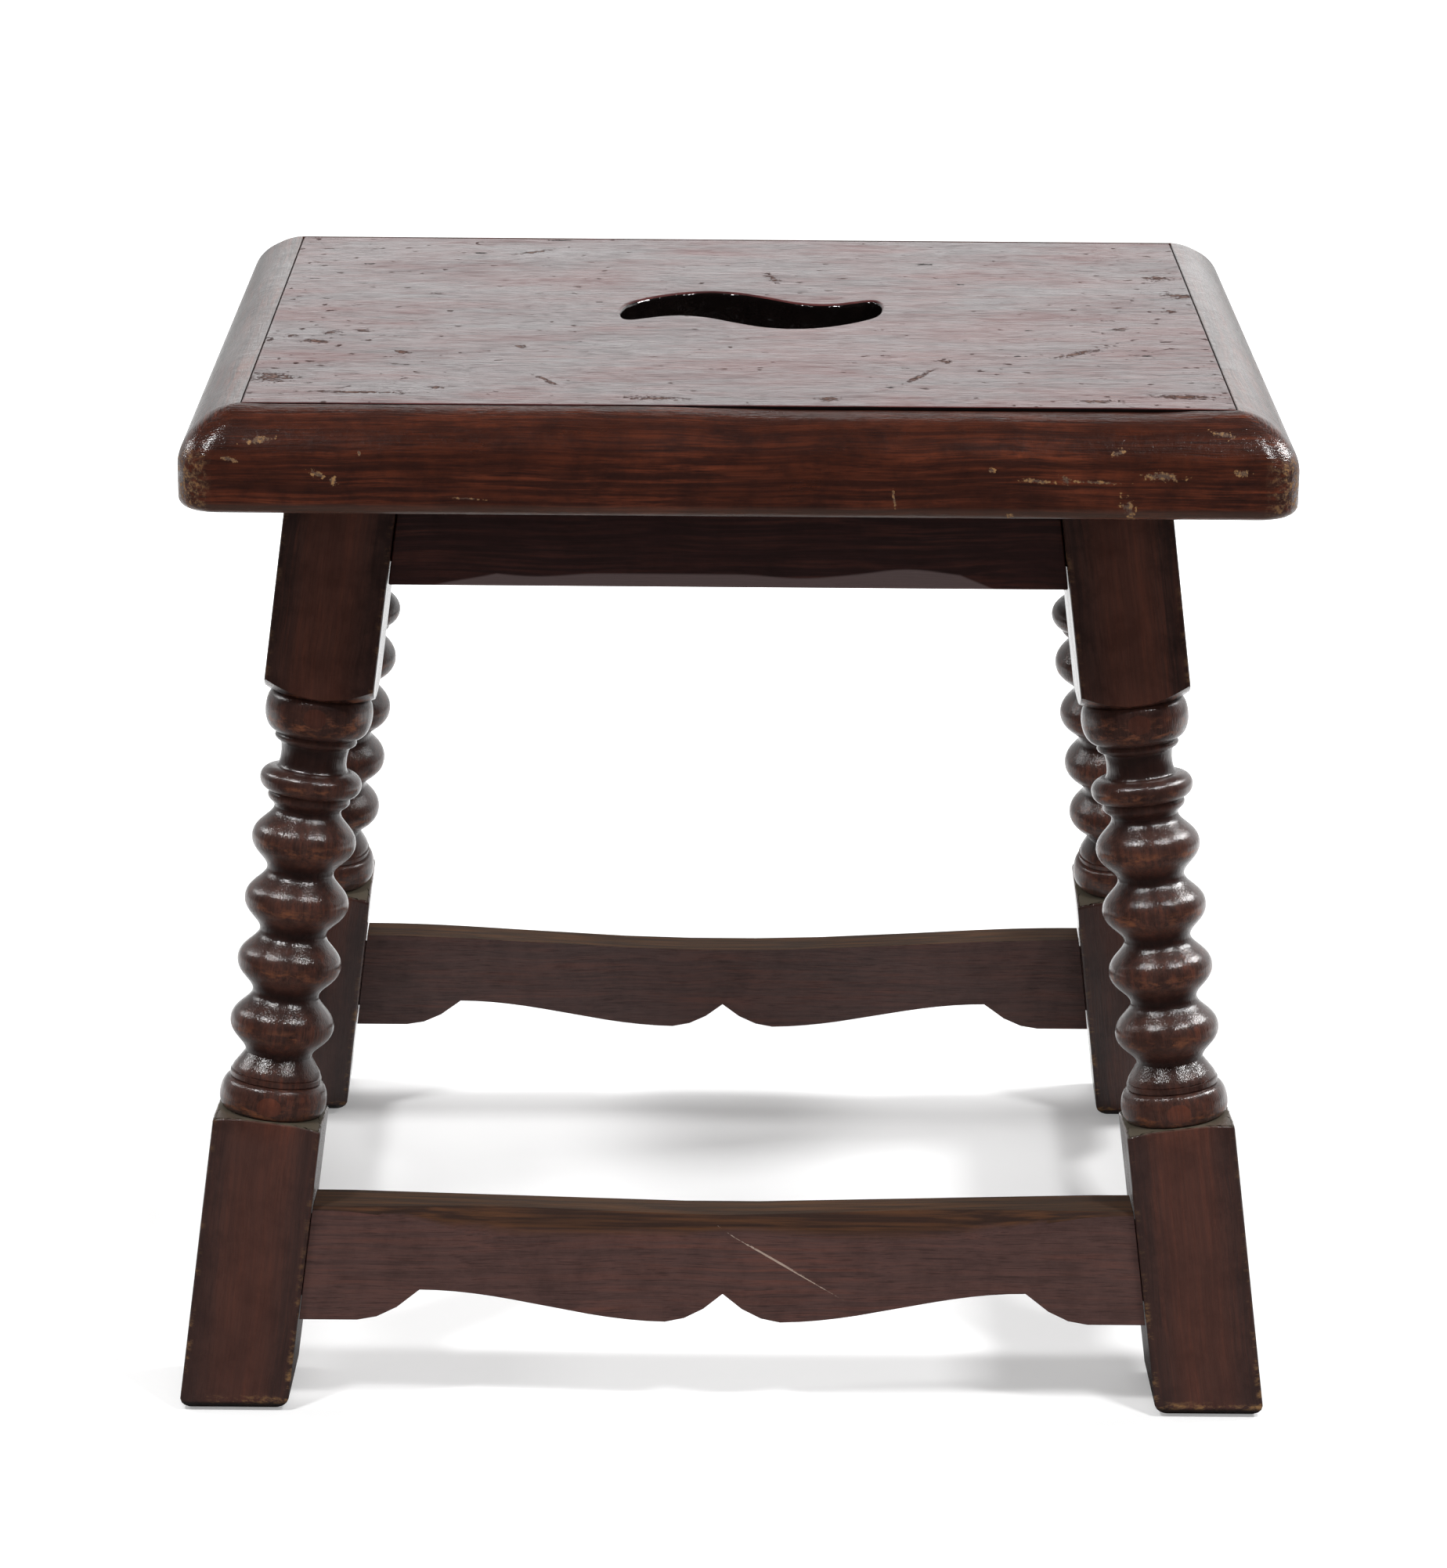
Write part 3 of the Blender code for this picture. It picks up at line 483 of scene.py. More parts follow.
def board_details(tree, place, nibble, clouds, tone, colours):
    """Flaked varnish at its sites, dark dents along the grain and small specks."""
    depth = site_depth(tree, place, nibble, BOARD_CHIPS)
    chips = add_node(tree, "MapRange", {0: depth, 2: 0.15})
    inner = add_node(tree, "MapRange", {0: depth, 1: 0.5, 2: 0.75, 4: 0.8})
    dents = site_marks(tree, place, nibble, BOARD_DENTS)
    # Flakes a millimetre or two across, many more of them towards the ends
    strewn = add_node(tree, "Mapping", {"Vector": place, "Scale": (170, 250, 250)})
    strewn = add_node(tree, "TexNoise", {"Vector": strewn, "Scale": 1.0, "Detail": 3.0})
    parts = add_node(tree, "SeparateXYZ", {0: place})
    endward = add_node(tree, "Math", {0: parts.outputs[0]}, operation="ABSOLUTE")
    endward = add_node(tree, "MapRange", {0: endward, 1: 0.08, 2: 0.19, 4: 0.046})
    strewn = add_node(tree, "Math", {0: strewn, 1: endward}, operation="ADD")
    strewn = add_node(tree, "MapRange", {0: strewn, 1: 0.697, 2: 0.712, 4: 0.8})
    chips = add_node(tree, "Math", {0: chips, 1: strewn}, operation="MAXIMUM")
    # The red of the wood shows in broad patches under the varnish
    rosy = add_node(tree, "MapRange", {0: clouds, 1: 0.42, 2: 0.66, 4: 0.5})
    for share, over in ((rosy, colours.rosy), (chips, colours.flaked),
                        (inner, colours.chipped), (dents, colours.grime)):
        tone = add_node(tree, "Mix", {0: share, 6: tone, 7: tuple(over)}, data_type="RGBA")
    bare = add_node(tree, "Math", {0: inner, 1: -0.45, 2: chips}, operation="MULTIPLY_ADD")
    bare = add_node(tree, "Math", {0: bare, 1: dents}, operation="MAXIMUM")
    return tone, bare


def edge_details(tree, place, nibble, clouds, tone, colours):
    """Chips at their sites, bare corners and the dull band along the bottom."""
    parts = add_node(tree, "SeparateXYZ", {0: place})
    height = parts.outputs[2]
    face = add_node(tree, "CombineXYZ", {0: parts.outputs[0], 1: height})
    chips = site_marks(tree, face, nibble, EDGE_CHIPS)
    spot = add_node(tree, "TexCoord").outputs["Object"]
    spot = add_node(tree, "VectorMath", {0: spot, 1: tuple(SEAT_CENTRE)}, operation="SUBTRACT")
    spot = add_node(tree, "VectorMath", {0: spot}, operation="ABSOLUTE")
    spot = add_node(tree, "SeparateXYZ", {0: spot})
    # The corners are rubbed bare, but their upper part has kept its gloss
    reach_x, reach_y, rubbed, lower, low, specks = (
        add_node(tree, "MapRange", {0: source, 1: start, 2: end, 3: first, 4: last})
        for source, start, end, first, last in (
            (spot.outputs[0], BOARD_HALF_X + 0.009, BOARD_HALF_X + 0.018, 0.0, 1.0),
            (spot.outputs[1], BOARD_HALF_Y + 0.009, BOARD_HALF_Y + 0.018, 0.0, 1.0),
            (nibble, 0.45, 0.56, 0.05, 0.85),
            (height, SEAT_TOP - 0.013, SEAT_TOP - 0.017, 0.0, 1.0),
            (height, EDGE_BOTTOM + 0.0055, EDGE_BOTTOM + 0.0035, 0.0, 0.45),
            (nibble, 0.725, 0.745, 0.0, 0.7)))
    corner = reach_x
    for factor in (reach_y, rubbed, lower):
        corner = add_node(tree, "Math", {0: corner, 1: factor}, operation="MULTIPLY")
    bare = chips
    for more in (specks, corner):
        bare = add_node(tree, "Math", {0: bare, 1: more}, operation="MAXIMUM")
    # Some of the bare wood has gone grey and some is still golden
    aged = add_node(tree, "MapRange", {0: nibble, 1: 0.5, 2: 0.62})
    aged = add_node(tree, "Mix", {0: aged, 6: tuple(colours.dull), 7: tuple(colours.worn)},
                    data_type="RGBA")
    for share, over in ((low, tuple(colours.dull)), (bare, aged)):
        tone = add_node(tree, "Mix", {0: share, 6: tone, 7: over}, data_type="RGBA")
    return tone, bare


def leg_details(tree, place, nibble, clouds, tone, colours):
    """Rubbed bobbins, dark coves, worn arrises and feet, dust on the foot blocks, a painted
    reflection of the floor on the feet and painted shade on the heads.
    """
    parts = add_node(tree, "SeparateXYZ", {0: place})
    across = add_node(tree, "Math", {0: parts.outputs[1]}, operation="ABSOLUTE")
    back = add_node(tree, "Math", {0: parts.outputs[2]}, operation="ABSOLUTE")
    near = add_node(tree, "Math", {0: across, 1: back}, operation="MINIMUM")
    far = add_node(tree, "Math", {0: across, 1: back}, operation="MAXIMUM")
    flat = add_node(tree, "CombineXYZ", {0: parts.outputs[1], 1: parts.outputs[2]})
    radius = add_node(tree, "VectorMath", {0: flat}, operation="LENGTH")
    facing = add_node(tree, "NewGeometry").outputs["Normal"]
    rise = add_node(tree, "SeparateXYZ", {0: facing}).outputs[2]
    height = add_node(tree, "TexCoord").outputs["Object"]
    height = add_node(tree, "SeparateXYZ", {0: height}).outputs[2]
    block = add_node(tree, "Math", {0: far, 1: TURNED_REACH}, operation="GREATER_THAN")
    turned = add_node(tree, "Math", {0: 1.0, 1: block}, operation="SUBTRACT")
    patch = add_node(tree, "Mapping", {"Vector": place, "Scale": (280, 110, 110)})
    patch = add_node(tree, "TexNoise", {"Vector": patch, "Scale": 1.0, "Detail": 7.0,
                                        "Roughness": 0.75})
    patch = add_node(tree, "MapRange", {0: patch, 1: 0.49, 2: 0.64, 4: 0.8})
    share = {}
    for key, source, start, end, first, last, course in (
            # Warm middle of a block's faces, darker towards the arrises
            ("inner", near, 0.018, 0.007, 0.0, 0.36, "SMOOTHSTEP"),
            ("rim", near, 0.012, 0.020, 0.0, 0.32, "SMOOTHSTEP"),
            # Painted light: the feet are greyer as a painted reflection of the white floor,
            # and the heads darker as painted shade under the seat
            ("painted_floor_reflection", height, 0.130, 0.110, 0.0, 0.42, "LINEAR"),
            ("painted_seat_shade", height, 0.240, 0.280, 0.0, 0.42, "LINEAR"),
            # The coves hold old polish
            ("cove", radius, 0.0170, 0.0140, 0.0, 0.75, "LINEAR"),
            # The bobbins are rubbed from the crown down
            ("crown", radius, 0.0190, 0.0208, 0.0, 1.0, "LINEAR"),
            ("under", rise, 0.35, -0.05, 0.0, 1.0, "LINEAR"),
            # Arrises worn to the wood, most of all at the feet
            ("foot", height, 0.075, 0.010, 0.2, 0.8, "LINEAR"),
            ("arris", near, 0.0192, 0.0210, 0.0, 1.0, "LINEAR"),
            ("sole", height, 0.0075, 0.0050, 0.0, 1.0, "LINEAR"),
            ("broken", patch, 0.1, 0.75, 0.0, 1.0, "LINEAR"),
            # The sole and the rounding above it are nearly black
            ("grime", height, 0.0045, 0.0030, 0.0, 0.9, "LINEAR"),
            # Dust lies on top of the foot block
            ("dust", rise, 0.75, 0.95, 0.0, 1.0, "LINEAR"),
            ("below ring", height, 0.1235, 0.1215, 0.0, 1.0, "LINEAR")):
        share[key] = add_node(tree, "MapRange", {0: source, 1: start, 2: end, 3: first,
                                                 4: last}, interpolation_type=course)
    share["arris"] = add_node(tree, "Math", {0: share["arris"], 1: share["sole"]},
                              operation="MAXIMUM")
    for key, factors in (("inner", (block, clouds)), ("rim", (block,)),
                         ("crown", (share["under"], turned, patch)),
                         ("arris", (share["broken"], share["foot"], block)),
                         ("dust", (share["below ring"], 0.75))):
        for factor in factors:
            share[key] = add_node(tree, "Math", {0: share[key], 1: factor},
                                  operation="MULTIPLY")
    # Among these mixes, the grey over the feet is a painted floor reflection and the dark over
    # the heads is painted shade
    for key, over in (("inner", colours.warm), ("rim", colours.streak),
                      ("painted_floor_reflection", colours.painted_floor_reflection), ("painted_seat_shade", colours.streak),
                      ("cove", colours.streak), ("crown", colours.rubbed),
                      ("arris", colours.worn), ("grime", colours.grime),
                      ("dust", colours.dust)):
        tone = add_node(tree, "Mix", {0: share[key], 6: tone, 7: tuple(over)},
                        data_type="RGBA")
    bare = add_node(tree, "Math", {0: share["arris"], 1: share["dust"]}, operation="MAXIMUM")
    bare = add_node(tree, "Math", {0: share["crown"], 1: 0.4, 2: bare},
                    operation="MULTIPLY_ADD")
    return tone, bare


def rail_details(tree, place, nibble, clouds, tone, colours):
    """A paler band, with a wavy upper line, along a rail's lower edge."""
    parts = add_node(tree, "SeparateXYZ", {0: place})
    along = add_node(tree, "CombineXYZ", {0: parts.outputs[0]})
    wave = add_node(tree, "TexNoise", {"Vector": along, "Scale": 21.0, "Detail": 0.0})
    line = add_node(tree, "Math", {0: wave, 1: 0.01, 2: RAIL_BOTTOM + 0.0003},
                    operation="MULTIPLY_ADD")
    outward = add_node(tree, "Math", {0: parts.outputs[0]}, operation="ABSOLUTE")
    outward = add_node(tree, "MapRange", {0: outward, 1: 0.092, 2: 0.125, 4: 0.01})
    line = add_node(tree, "Math", {0: line, 1: outward}, operation="SUBTRACT")
    above = add_node(tree, "Math", {0: parts.outputs[1], 1: line}, operation="SUBTRACT")
    band = add_node(tree, "MapRange", {0: above, 1: 0.0004, 2: -0.0004, 4: 0.8})
    tone = add_node(tree, "Mix", {0: band, 6: tone, 7: tuple(colours.pale_lower_band)},
                    data_type="RGBA")
    return tone, add_node(tree, "MapRange", {0: nibble, 1: 0.74, 2: 0.76, 4: 0.6})


def stretcher_details(tree, place, nibble, clouds, tone, colours):
    """Feet have worn the upper outer edge brown, and dust lies on the top."""
    facing = add_node(tree, "NewGeometry").outputs["Normal"]
    rise = add_node(tree, "SeparateXYZ", {0: facing}).outputs[2]
    trodden = add_node(tree, "MapRange", {0: rise, 1: 0.2, 2: 0.34, 4: 0.9})
    lines = add_node(tree, "Mapping", {"Vector": place, "Scale": (16, 600, 600)})
    lines = add_node(tree, "TexNoise", {"Vector": lines, "Scale": 1.0, "Detail": 4.0})
    lines = add_node(tree, "MapRange", {0: lines, 1: 0.4, 2: 0.66})
    brown = add_node(tree, "Mix", {0: lines, 6: tuple(colours.trodden),
                                   7: tuple(colours.bruised)}, data_type="RGBA")
    level = add_node(tree, "MapRange", {0: rise, 1: 0.9, 2: 0.98, 4: 0.12})
    specks = add_node(tree, "MapRange", {0: nibble, 1: 0.735, 2: 0.755, 4: 0.6})
    even = add_node(tree, "Math", {0: nibble, 1: 0.3, 2: 0.36}, operation="MULTIPLY_ADD")
    parts = add_node(tree, "SeparateXYZ", {0: place})
    face = add_node(tree, "CombineXYZ", {0: parts.outputs[0], 1: parts.outputs[1]})
    scratch = site_marks(tree, face, even, STRETCHER_SCRATCH)
    for share, over in ((trodden, brown), (level, tuple(colours.dust)),
                        (specks, tuple(colours.worn)), (scratch, tuple(colours.scratch))):
        tone = add_node(tree, "Mix", {0: share, 6: tone, 7: over}, data_type="RGBA")
    bare = add_node(tree, "Math", {0: specks, 1: scratch}, operation="MAXIMUM")
    for share, weight in ((level, 1.2), (trodden, 0.75)):
        bare = add_node(tree, "Math", {0: share, 1: weight, 2: bare},
                        operation="MULTIPLY_ADD")
    return tone, bare


def black_wall_with_painted_shade(colours):
    """Sawn wall of the hand hole under thick old varnish, wet-looking and lumpy; its black is
    partly painted shade.
    """
    material = new_material("lumpy black varnish of the hand hole")
    tree = material.node_tree
    place = add_node(tree, "TexCoord").outputs["Object"]
    lumps = add_node(tree, "TexNoise", {"Vector": place, "Scale": 150.0, "Detail": 2.0})
    bump = add_node(tree, "Bump", {"Strength": 0.6, "Distance": 0.0012, "Height": lumps})
    tone = add_node(tree, "Mix", {0: lumps, 6: (0.0015, 0.001, 0.001, 1),
                                  7: tuple(colours.grime)}, data_type="RGBA")
    surface = add_node(tree, "BsdfPrincipled", {"Base Color": tone, "Roughness": 0.1,
                                                "IOR": 1.5, "Normal": bump})
    add_node(tree, "OutputMaterial", {"Surface": surface})
    return material


def raw_softwood(colours):
    """Sawn softwood of the corner blocks: pale, dry and dusty, with its year rings."""
    material = new_material("raw sawn softwood")
    tree = material.node_tree
    place = add_node(tree, "TexCoord").outputs["Object"]
    # Year rings 3 mm apart, running down through the block
    turned = add_node(tree, "Mapping", {"Vector": place, "Scale": (1.0, 1.0, 0.15),
                                        "Rotation": (0.2, 0.1, math.radians(38))})
    rings = add_node(tree, "TexWave", {"Vector": turned, "Scale": 52.0, "Distortion": 3.0,
                                       "Detail": 3.0, "Detail Scale": 1.5}).outputs["Fac"]
    fuzz = add_node(tree, "TexNoise", {"Vector": place, "Scale": 900.0, "Detail": 3.0})
    age = add_node(tree, "TexNoise", {"Vector": place, "Scale": 45.0, "Detail": 4.0})
    grey = add_node(tree, "MapRange", {0: age, 1: 0.4, 2: 0.7, 3: 0.1, 4: 0.7})
    tone = tuple(colours.raw)
    for share, over in ((rings, colours.rings), (grey, colours.dust)):
        tone = add_node(tree, "Mix", {0: share, 6: tone, 7: tuple(over)}, data_type="RGBA")
    relief = add_node(tree, "Math", {0: fuzz, 1: 0.6, 2: rings}, operation="MULTIPLY_ADD")
    bump = add_node(tree, "Bump", {"Strength": 0.5, "Distance": 0.0003, "Height": relief})
    surface = add_node(tree, "BsdfPrincipled", {"Base Color": tone, "Roughness": 0.8,
                                                "IOR": 1.45, "Normal": bump})
    add_node(tree, "OutputMaterial", {"Surface": surface})
    return material


def dull_steel(colours):
    """Steel of the old screws: grey with brown rust freckles."""
    material = new_material("dull steel with rust freckles")
    tree = material.node_tree
    place = add_node(tree, "TexCoord").outputs["Object"]
    freckles = add_node(tree, "TexNoise", {"Vector": place, "Scale": 1100.0, "Detail": 4.0})
    rust = add_node(tree, "MapRange", {0: freckles, 1: 0.5, 2: 0.62, 4: 0.85})
    tone = add_node(tree, "Mix", {0: rust, 6: tuple(colours.steel), 7: tuple(colours.rust)},
                    data_type="RGBA")
    metal = add_node(tree, "Math", {0: 1.0, 1: rust}, operation="SUBTRACT")
    rough = add_node(tree, "MapRange", {0: rust, 3: 0.38, 4: 0.85})
    bump = add_node(tree, "Bump", {"Strength": 0.4, "Distance": 0.0002, "Height": freckles})
    surface = add_node(tree, "BsdfPrincipled", {"Base Color": tone, "Metallic": metal,
                                                "Roughness": rough, "Normal": bump})
    add_node(tree, "OutputMaterial", {"Surface": surface})
    return material


def make_finishes(context):
    """All finishes by name, made once."""
    if "stained wood of the board" not in bpy.data.materials:
        c = context.scene.stool_colours
        woods = (
            ("board", c.board, board_details,
             dict(warm=0.3, pore=0.8, streak=0.55, dirt=0.3, sunk=0.75, dull=0.36, thin=0.16,
                  gloss=(0.26, 0.38), coat=1.18, coat_roughness=0.11, uneven=1.0, bump=0.42)),
            ("edging", c.edge, edge_details,
             dict(warm=0.55, pore=0.5, streak=0.5, dirt=0.6, sunk=0.2, dull=0.15, thin=0.1,
                  gloss=(0.26, 0.38), coat=1.05, coat_roughness=0.07, uneven=3.0, bump=0.5)),
            ("legs", c.leg, leg_details,
             dict(warm=0.3, pore=0.45, streak=0.3, dirt=0.75, sunk=0.15, dull=0.2, thin=0.1,
                  gloss=(0.32, 0.46), coat=1.0, coat_roughness=0.055, uneven=1.5,
                  bump=0.45)),
            ("rails", c.rail, rail_details,
             dict(warm=0.2, pore=0.35, streak=0.35, dirt=0.4, sunk=0.2, dull=0.2, thin=0.1,
                  gloss=(0.32, 0.44), coat=0.8, coat_roughness=0.14, uneven=1.5, bump=0.4)),
            ("stretchers", c.stretcher, stretcher_details,
             dict(warm=0.22, pore=0.35, streak=0.2, dirt=0.28, sunk=0.2, dull=0.2, thin=0.1,
                  gloss=(0.42, 0.54), coat=0.7, coat_roughness=0.22, uneven=1.5, bump=0.5)),
        )
        for wood, stain, details, look in woods:
            stained_wood(f"stained wood of the {wood}", stain, c, details, look)
        black_wall_with_painted_shade(c)
        raw_softwood(c)
        dull_steel(c)
    return {m.name: m for m in bpy.data.materials}


# Seat board

def hole_outline(sizes):
    """Points round the hand hole: one curved side and the same side turned half round."""
    shares = [Vector(p) for p in HOLE_SIDE_SHARES]
    shares += [-p for p in shares]
    count = len(shares)
    points = []
    for i in range(count):
        before, a, b, after = (shares[(i + k) % count] for k in (-1, 0, 1, 2))
        for step in range(HOLE_CURVE_STEPS):
            t = step / HOLE_CURVE_STEPS
            p = 0.5 * (2 * a + (b - before) * t + (2 * before - 5 * a + 4 * b - after) * t ** 2
                       + (3 * a - before - 3 * b + after) * t ** 3)
            points.append((p.x * sizes.hole_length / 2, p.y * sizes.hole_width / 2))
    return points


class STOOL_OT_board(bpy.types.Operator):
    """Models the seat board with its hand hole"""

    bl_idname = "stool.board"
    bl_label = "Seat Board"
    bl_options = {"REGISTER", "UNDO"}

    def open_seam(self, board, sizes):
        """Draws the right of the front back from the edging, as the board has shrunk."""
        front = SEAT_CENTRE.y - BOARD_HALF_Y
        parts = 16
        choose(board, lambda e: all(v.co.y < front + CLEARANCE for v in e.verts)
               and abs(e.verts[0].co.z - e.verts[1].co.z) < CLEARANCE, "EDGE")
        bpy.ops.mesh.subdivide(number_cuts=parts - 1)
        for step in range(1, parts):
            x = SEAT_CENTRE.x - BOARD_HALF_X + 2 * BOARD_HALF_X * step / parts
            share = max(0.0, min(1.0, (step - 5) / 6, (parts - step) / 1.5))
            choose(board, lambda v: abs(v.co.x - x) < CLEARANCE and v.co.y < front + CLEARANCE)
            bpy.ops.transform.translate(value=(0, sizes.open_seam * share, 0))

    def cut_hole(self, board, sizes):
        """Saws out the hand hole."""
        places = [Vector((SEAT_CENTRE.x + HOLE_OFFSET_X + x, SEAT_CENTRE.y + HOLE_OFFSET_Y + y,
                          BOARD_UNDERSIDE - 0.01)) for x, y in hole_outline(sizes)]
        cutter = add_outline("hole cutter", places)
        bpy.ops.object.mode_set(mode="EDIT")
        bpy.ops.mesh.select_all(action="SELECT")
        bpy.ops.mesh.extrude_region_move(TRANSFORM_OT_translate={"value": (0, 0, 0.05)})
        bpy.ops.mesh.select_all(action="SELECT")
        bpy.ops.mesh.normals_make_consistent(inside=False)
        bpy.ops.object.mode_set(mode="OBJECT")
        cut_with(board, cutter, "DIFFERENCE")

    def execute(self, context):
        sizes = context.scene.stool_sizes
        clear_selection()
        bpy.ops.mesh.primitive_cube_add(
            size=1, location=(SEAT_CENTRE.x, SEAT_CENTRE.y, (SEAT_TOP + BOARD_UNDERSIDE) / 2),
            scale=(2 * BOARD_HALF_X, 2 * BOARD_HALF_Y, SEAT_TOP - BOARD_UNDERSIDE))
        board = bpy.context.object
        board.name = "seat_board_dressed"
        bpy.ops.object.transform_apply(location=True, rotation=True, scale=True)
        bpy.ops.object.mode_set(mode="EDIT")
        self.open_seam(board, sizes)
        choose(board, lambda e: all(v.co.z > SEAT_TOP - CLEARANCE for v in e.verts)
               and e.calc_face_angle(0) > 1, "EDGE")
        bpy.ops.mesh.bevel(offset=sizes.board_arris, segments=5, affect="EDGES")
        bpy.ops.object.mode_set(mode="OBJECT")
        self.cut_hole(board, sizes)

        inside_x = BOARD_HALF_X - 0.02
        inside_y = BOARD_HALF_Y - 0.02
        bpy.ops.object.mode_set(mode="EDIT")
        for z, width, segments in ((SEAT_TOP, sizes.hole_arris, 6),
                                   (BOARD_UNDERSIDE, sizes.hole_arris / 3, 3)):
            choose(board, lambda e: e.calc_face_angle(0) > 1
                   and all(abs(v.co.z - z) < CLEARANCE / 3
                           and abs(v.co.x - SEAT_CENTRE.x) < inside_x
                           and abs(v.co.y) < inside_y for v in e.verts), "EDGE")
            bpy.ops.mesh.bevel(offset=width, segments=segments, affect="EDGES")
        bpy.ops.object.mode_set(mode="OBJECT")
        keep_grain(board, lambda p: p - SEAT_CENTRE)
        finish_shading(board)
        finishes = make_finishes(context)
        settle(board, "seat_board", "board", finishes["stained wood of the board"],
               finishes["lumpy black varnish of the hand hole"])
        # Painted shade: the hole's wall and rim, and the board's sides seen in the open seam,
        # get the black finish
        for face in board.data.polygons:
            place = face.center - SEAT_CENTRE
            in_rim = abs(place.x) < inside_x and abs(place.y) < inside_y
            if abs(face.normal.z) < (0.7 if in_rim else 0.85):
                face.material_index = 1
        return {"FINISHED"}


# Edging

def edging_section(sizes):
    """Section of the edging as (outward, height) points, from the seam over the nose."""
    points = [(0, SEAT_TOP - CLEARANCE), (CLEARANCE, SEAT_TOP)]
    steps = 22
    for step in range(1, steps + 1):
        turn = math.pi / 2 * step / steps
        points.append((sizes.edge_width * math.sin(turn),
                       SEAT_TOP - sizes.edge_drop * (1 - math.cos(turn))
                       - sizes.edge_fall * math.sin(2 * turn)))
    points.append((sizes.edge_width, (SEAT_TOP - sizes.edge_drop + EDGE_BOTTOM
                                      + sizes.edge_foot) / 2))
    steps = 6
    for step in range(steps + 1):
        turn = math.pi / 2 * step / steps
        points.append((sizes.edge_width - sizes.edge_foot * (1 - math.cos(turn)),
                       EDGE_BOTTOM + sizes.edge_foot * (1 - math.sin(turn))))
    points.append((0, EDGE_BOTTOM))
    return points


def model_edging(name, half_along, half_across, sizes):
    """One mitred piece of the edging along -Y, round a board centred on the origin."""
    section = edging_section(sizes)
    corner = sizes.edge_corner
    places = [Vector((-half_along, -half_across - min(out, corner), z)) for out, z in section]
    piece = add_outline(name, places)
    bpy.ops.object.mode_set(mode="EDIT")
    bpy.ops.mesh.select_all(action="SELECT")
    bpy.ops.mesh.extrude_region_move(
        TRANSFORM_OT_translate={"value": (2 * half_along, 0, 0)})
    choose(piece, lambda e: abs(e.verts[0].co.x - e.verts[1].co.x) > half_along, "EDGE")
    bpy.ops.mesh.subdivide(number_cuts=EDGE_PARTS - 1)
    for side in (-1, 1):
        choose(piece, lambda f: abs(middle(f).x - side * half_along) < CLEARANCE / 3
               and abs(f.normal.x) > 0.9, "FACE")
        bpy.ops.mesh.spin(steps=8, angle=-side * math.radians(45),
                          center=(side * half_along, -half_across, 0), axis=(0, 0, 1))
    bpy.ops.mesh.select_all(action="SELECT")
    bpy.ops.mesh.remove_doubles(threshold=CLEARANCE / 30)
    bpy.ops.mesh.normals_make_consistent(inside=False)
    # Below the corner's radius the section stands further out, level by level
    for out, z in section:
        if out > corner:
            choose(piece, lambda v: abs(v.co.z - z) < CLEARANCE / 30
                   and max(abs(v.co.x) - half_along, abs(v.co.y) - half_across) > corner / 2)
            bpy.ops.transform.resize(
                value=((half_along + out) / (half_along + corner),
                       (half_across + out) / (half_across + corner), 1),
                center_override=(0, 0, z))
    bpy.ops.object.mode_set(mode="OBJECT")
    return piece


class STOOL_OT_edging(bpy.types.Operator):
    """Models the four mitred pieces of the seat's edging"""

    bl_idname = "stool.edging"
    bl_label = "Edging"
    bl_options = {"REGISTER", "UNDO"}

    def sink_seam(self, piece, sizes):
        """Lowers the top of the front piece where the seam stands open."""
        bpy.ops.object.mode_set(mode="EDIT")
        depth = 0.003
        for step in range(1, EDGE_PARTS):
            x = BOARD_HALF_X * (2 * step / EDGE_PARTS - 1)
            # Deepest from the middle almost to the right corner
            share = max(0.3, min(1.0, (x + 0.05) / 0.07, (0.185 - x) / 0.02))
            choose(piece, lambda v: abs(v.co.x - x) < CLEARANCE and v.co.z > SEAT_TOP - depth)
            bpy.ops.transform.resize(
                value=(1, 1, 1 - share * sizes.seam_step / depth),
                center_override=(x, -BOARD_HALF_Y, SEAT_TOP - depth))
        bpy.ops.object.mode_set(mode="OBJECT")

    def execute(self, context):
        sizes = context.scene.stool_sizes
        finishes = make_finishes(context)
        long_piece = model_edging("edge long", BOARD_HALF_X, BOARD_HALF_Y, sizes)
        short_piece = model_edging("edge short", BOARD_HALF_Y, BOARD_HALF_X, sizes)
        sides = (("front", long_piece, 0), ("right", short_piece, 90),
                 ("back", long_piece, 180), ("left", short_piece, 270))
        for (side, source, degrees), shift in zip(sides, WOOD_SHIFTS):
            piece = own_copy(source, f"seat_edge_{side}_dressed")
            if side == "front":
                self.sink_seam(piece, sizes)
            keep_grain(piece, lambda p: (p.x + shift, p.y, p.z))
            piece.rotation_euler = (0, 0, math.radians(degrees))
            piece.location = (SEAT_CENTRE.x, SEAT_CENTRE.y, 0)
            bpy.ops.object.transform_apply(location=True, rotation=True, scale=True)
            finish_shading(piece)
            settle(piece, f"seat_edge_{side}", "edge", finishes["stained wood of the edging"])
        for source in (long_piece, short_piece):
            bpy.data.objects.remove(source)
        return {"FINISHED"}


# Legs

def bead(start, height, root, crown, tip, crown_share, steps=9):
    """A rounded moulding as (height, radius) points, widest at a share of its height."""
    peak = height * crown_share
    points = []
    for step in range(steps + 1):
        turn = math.pi / 2 * step / steps
        points.append((start + peak * (1 - math.cos(turn)),
                       root + (crown - root) * math.sin(turn)))
    for step in range(1, steps + 1):
        turn = math.pi / 2 * step / steps
        points.append((start + peak + (height - peak) * math.sin(turn),
                       tip + (crown - tip) * math.cos(turn)))
    return points


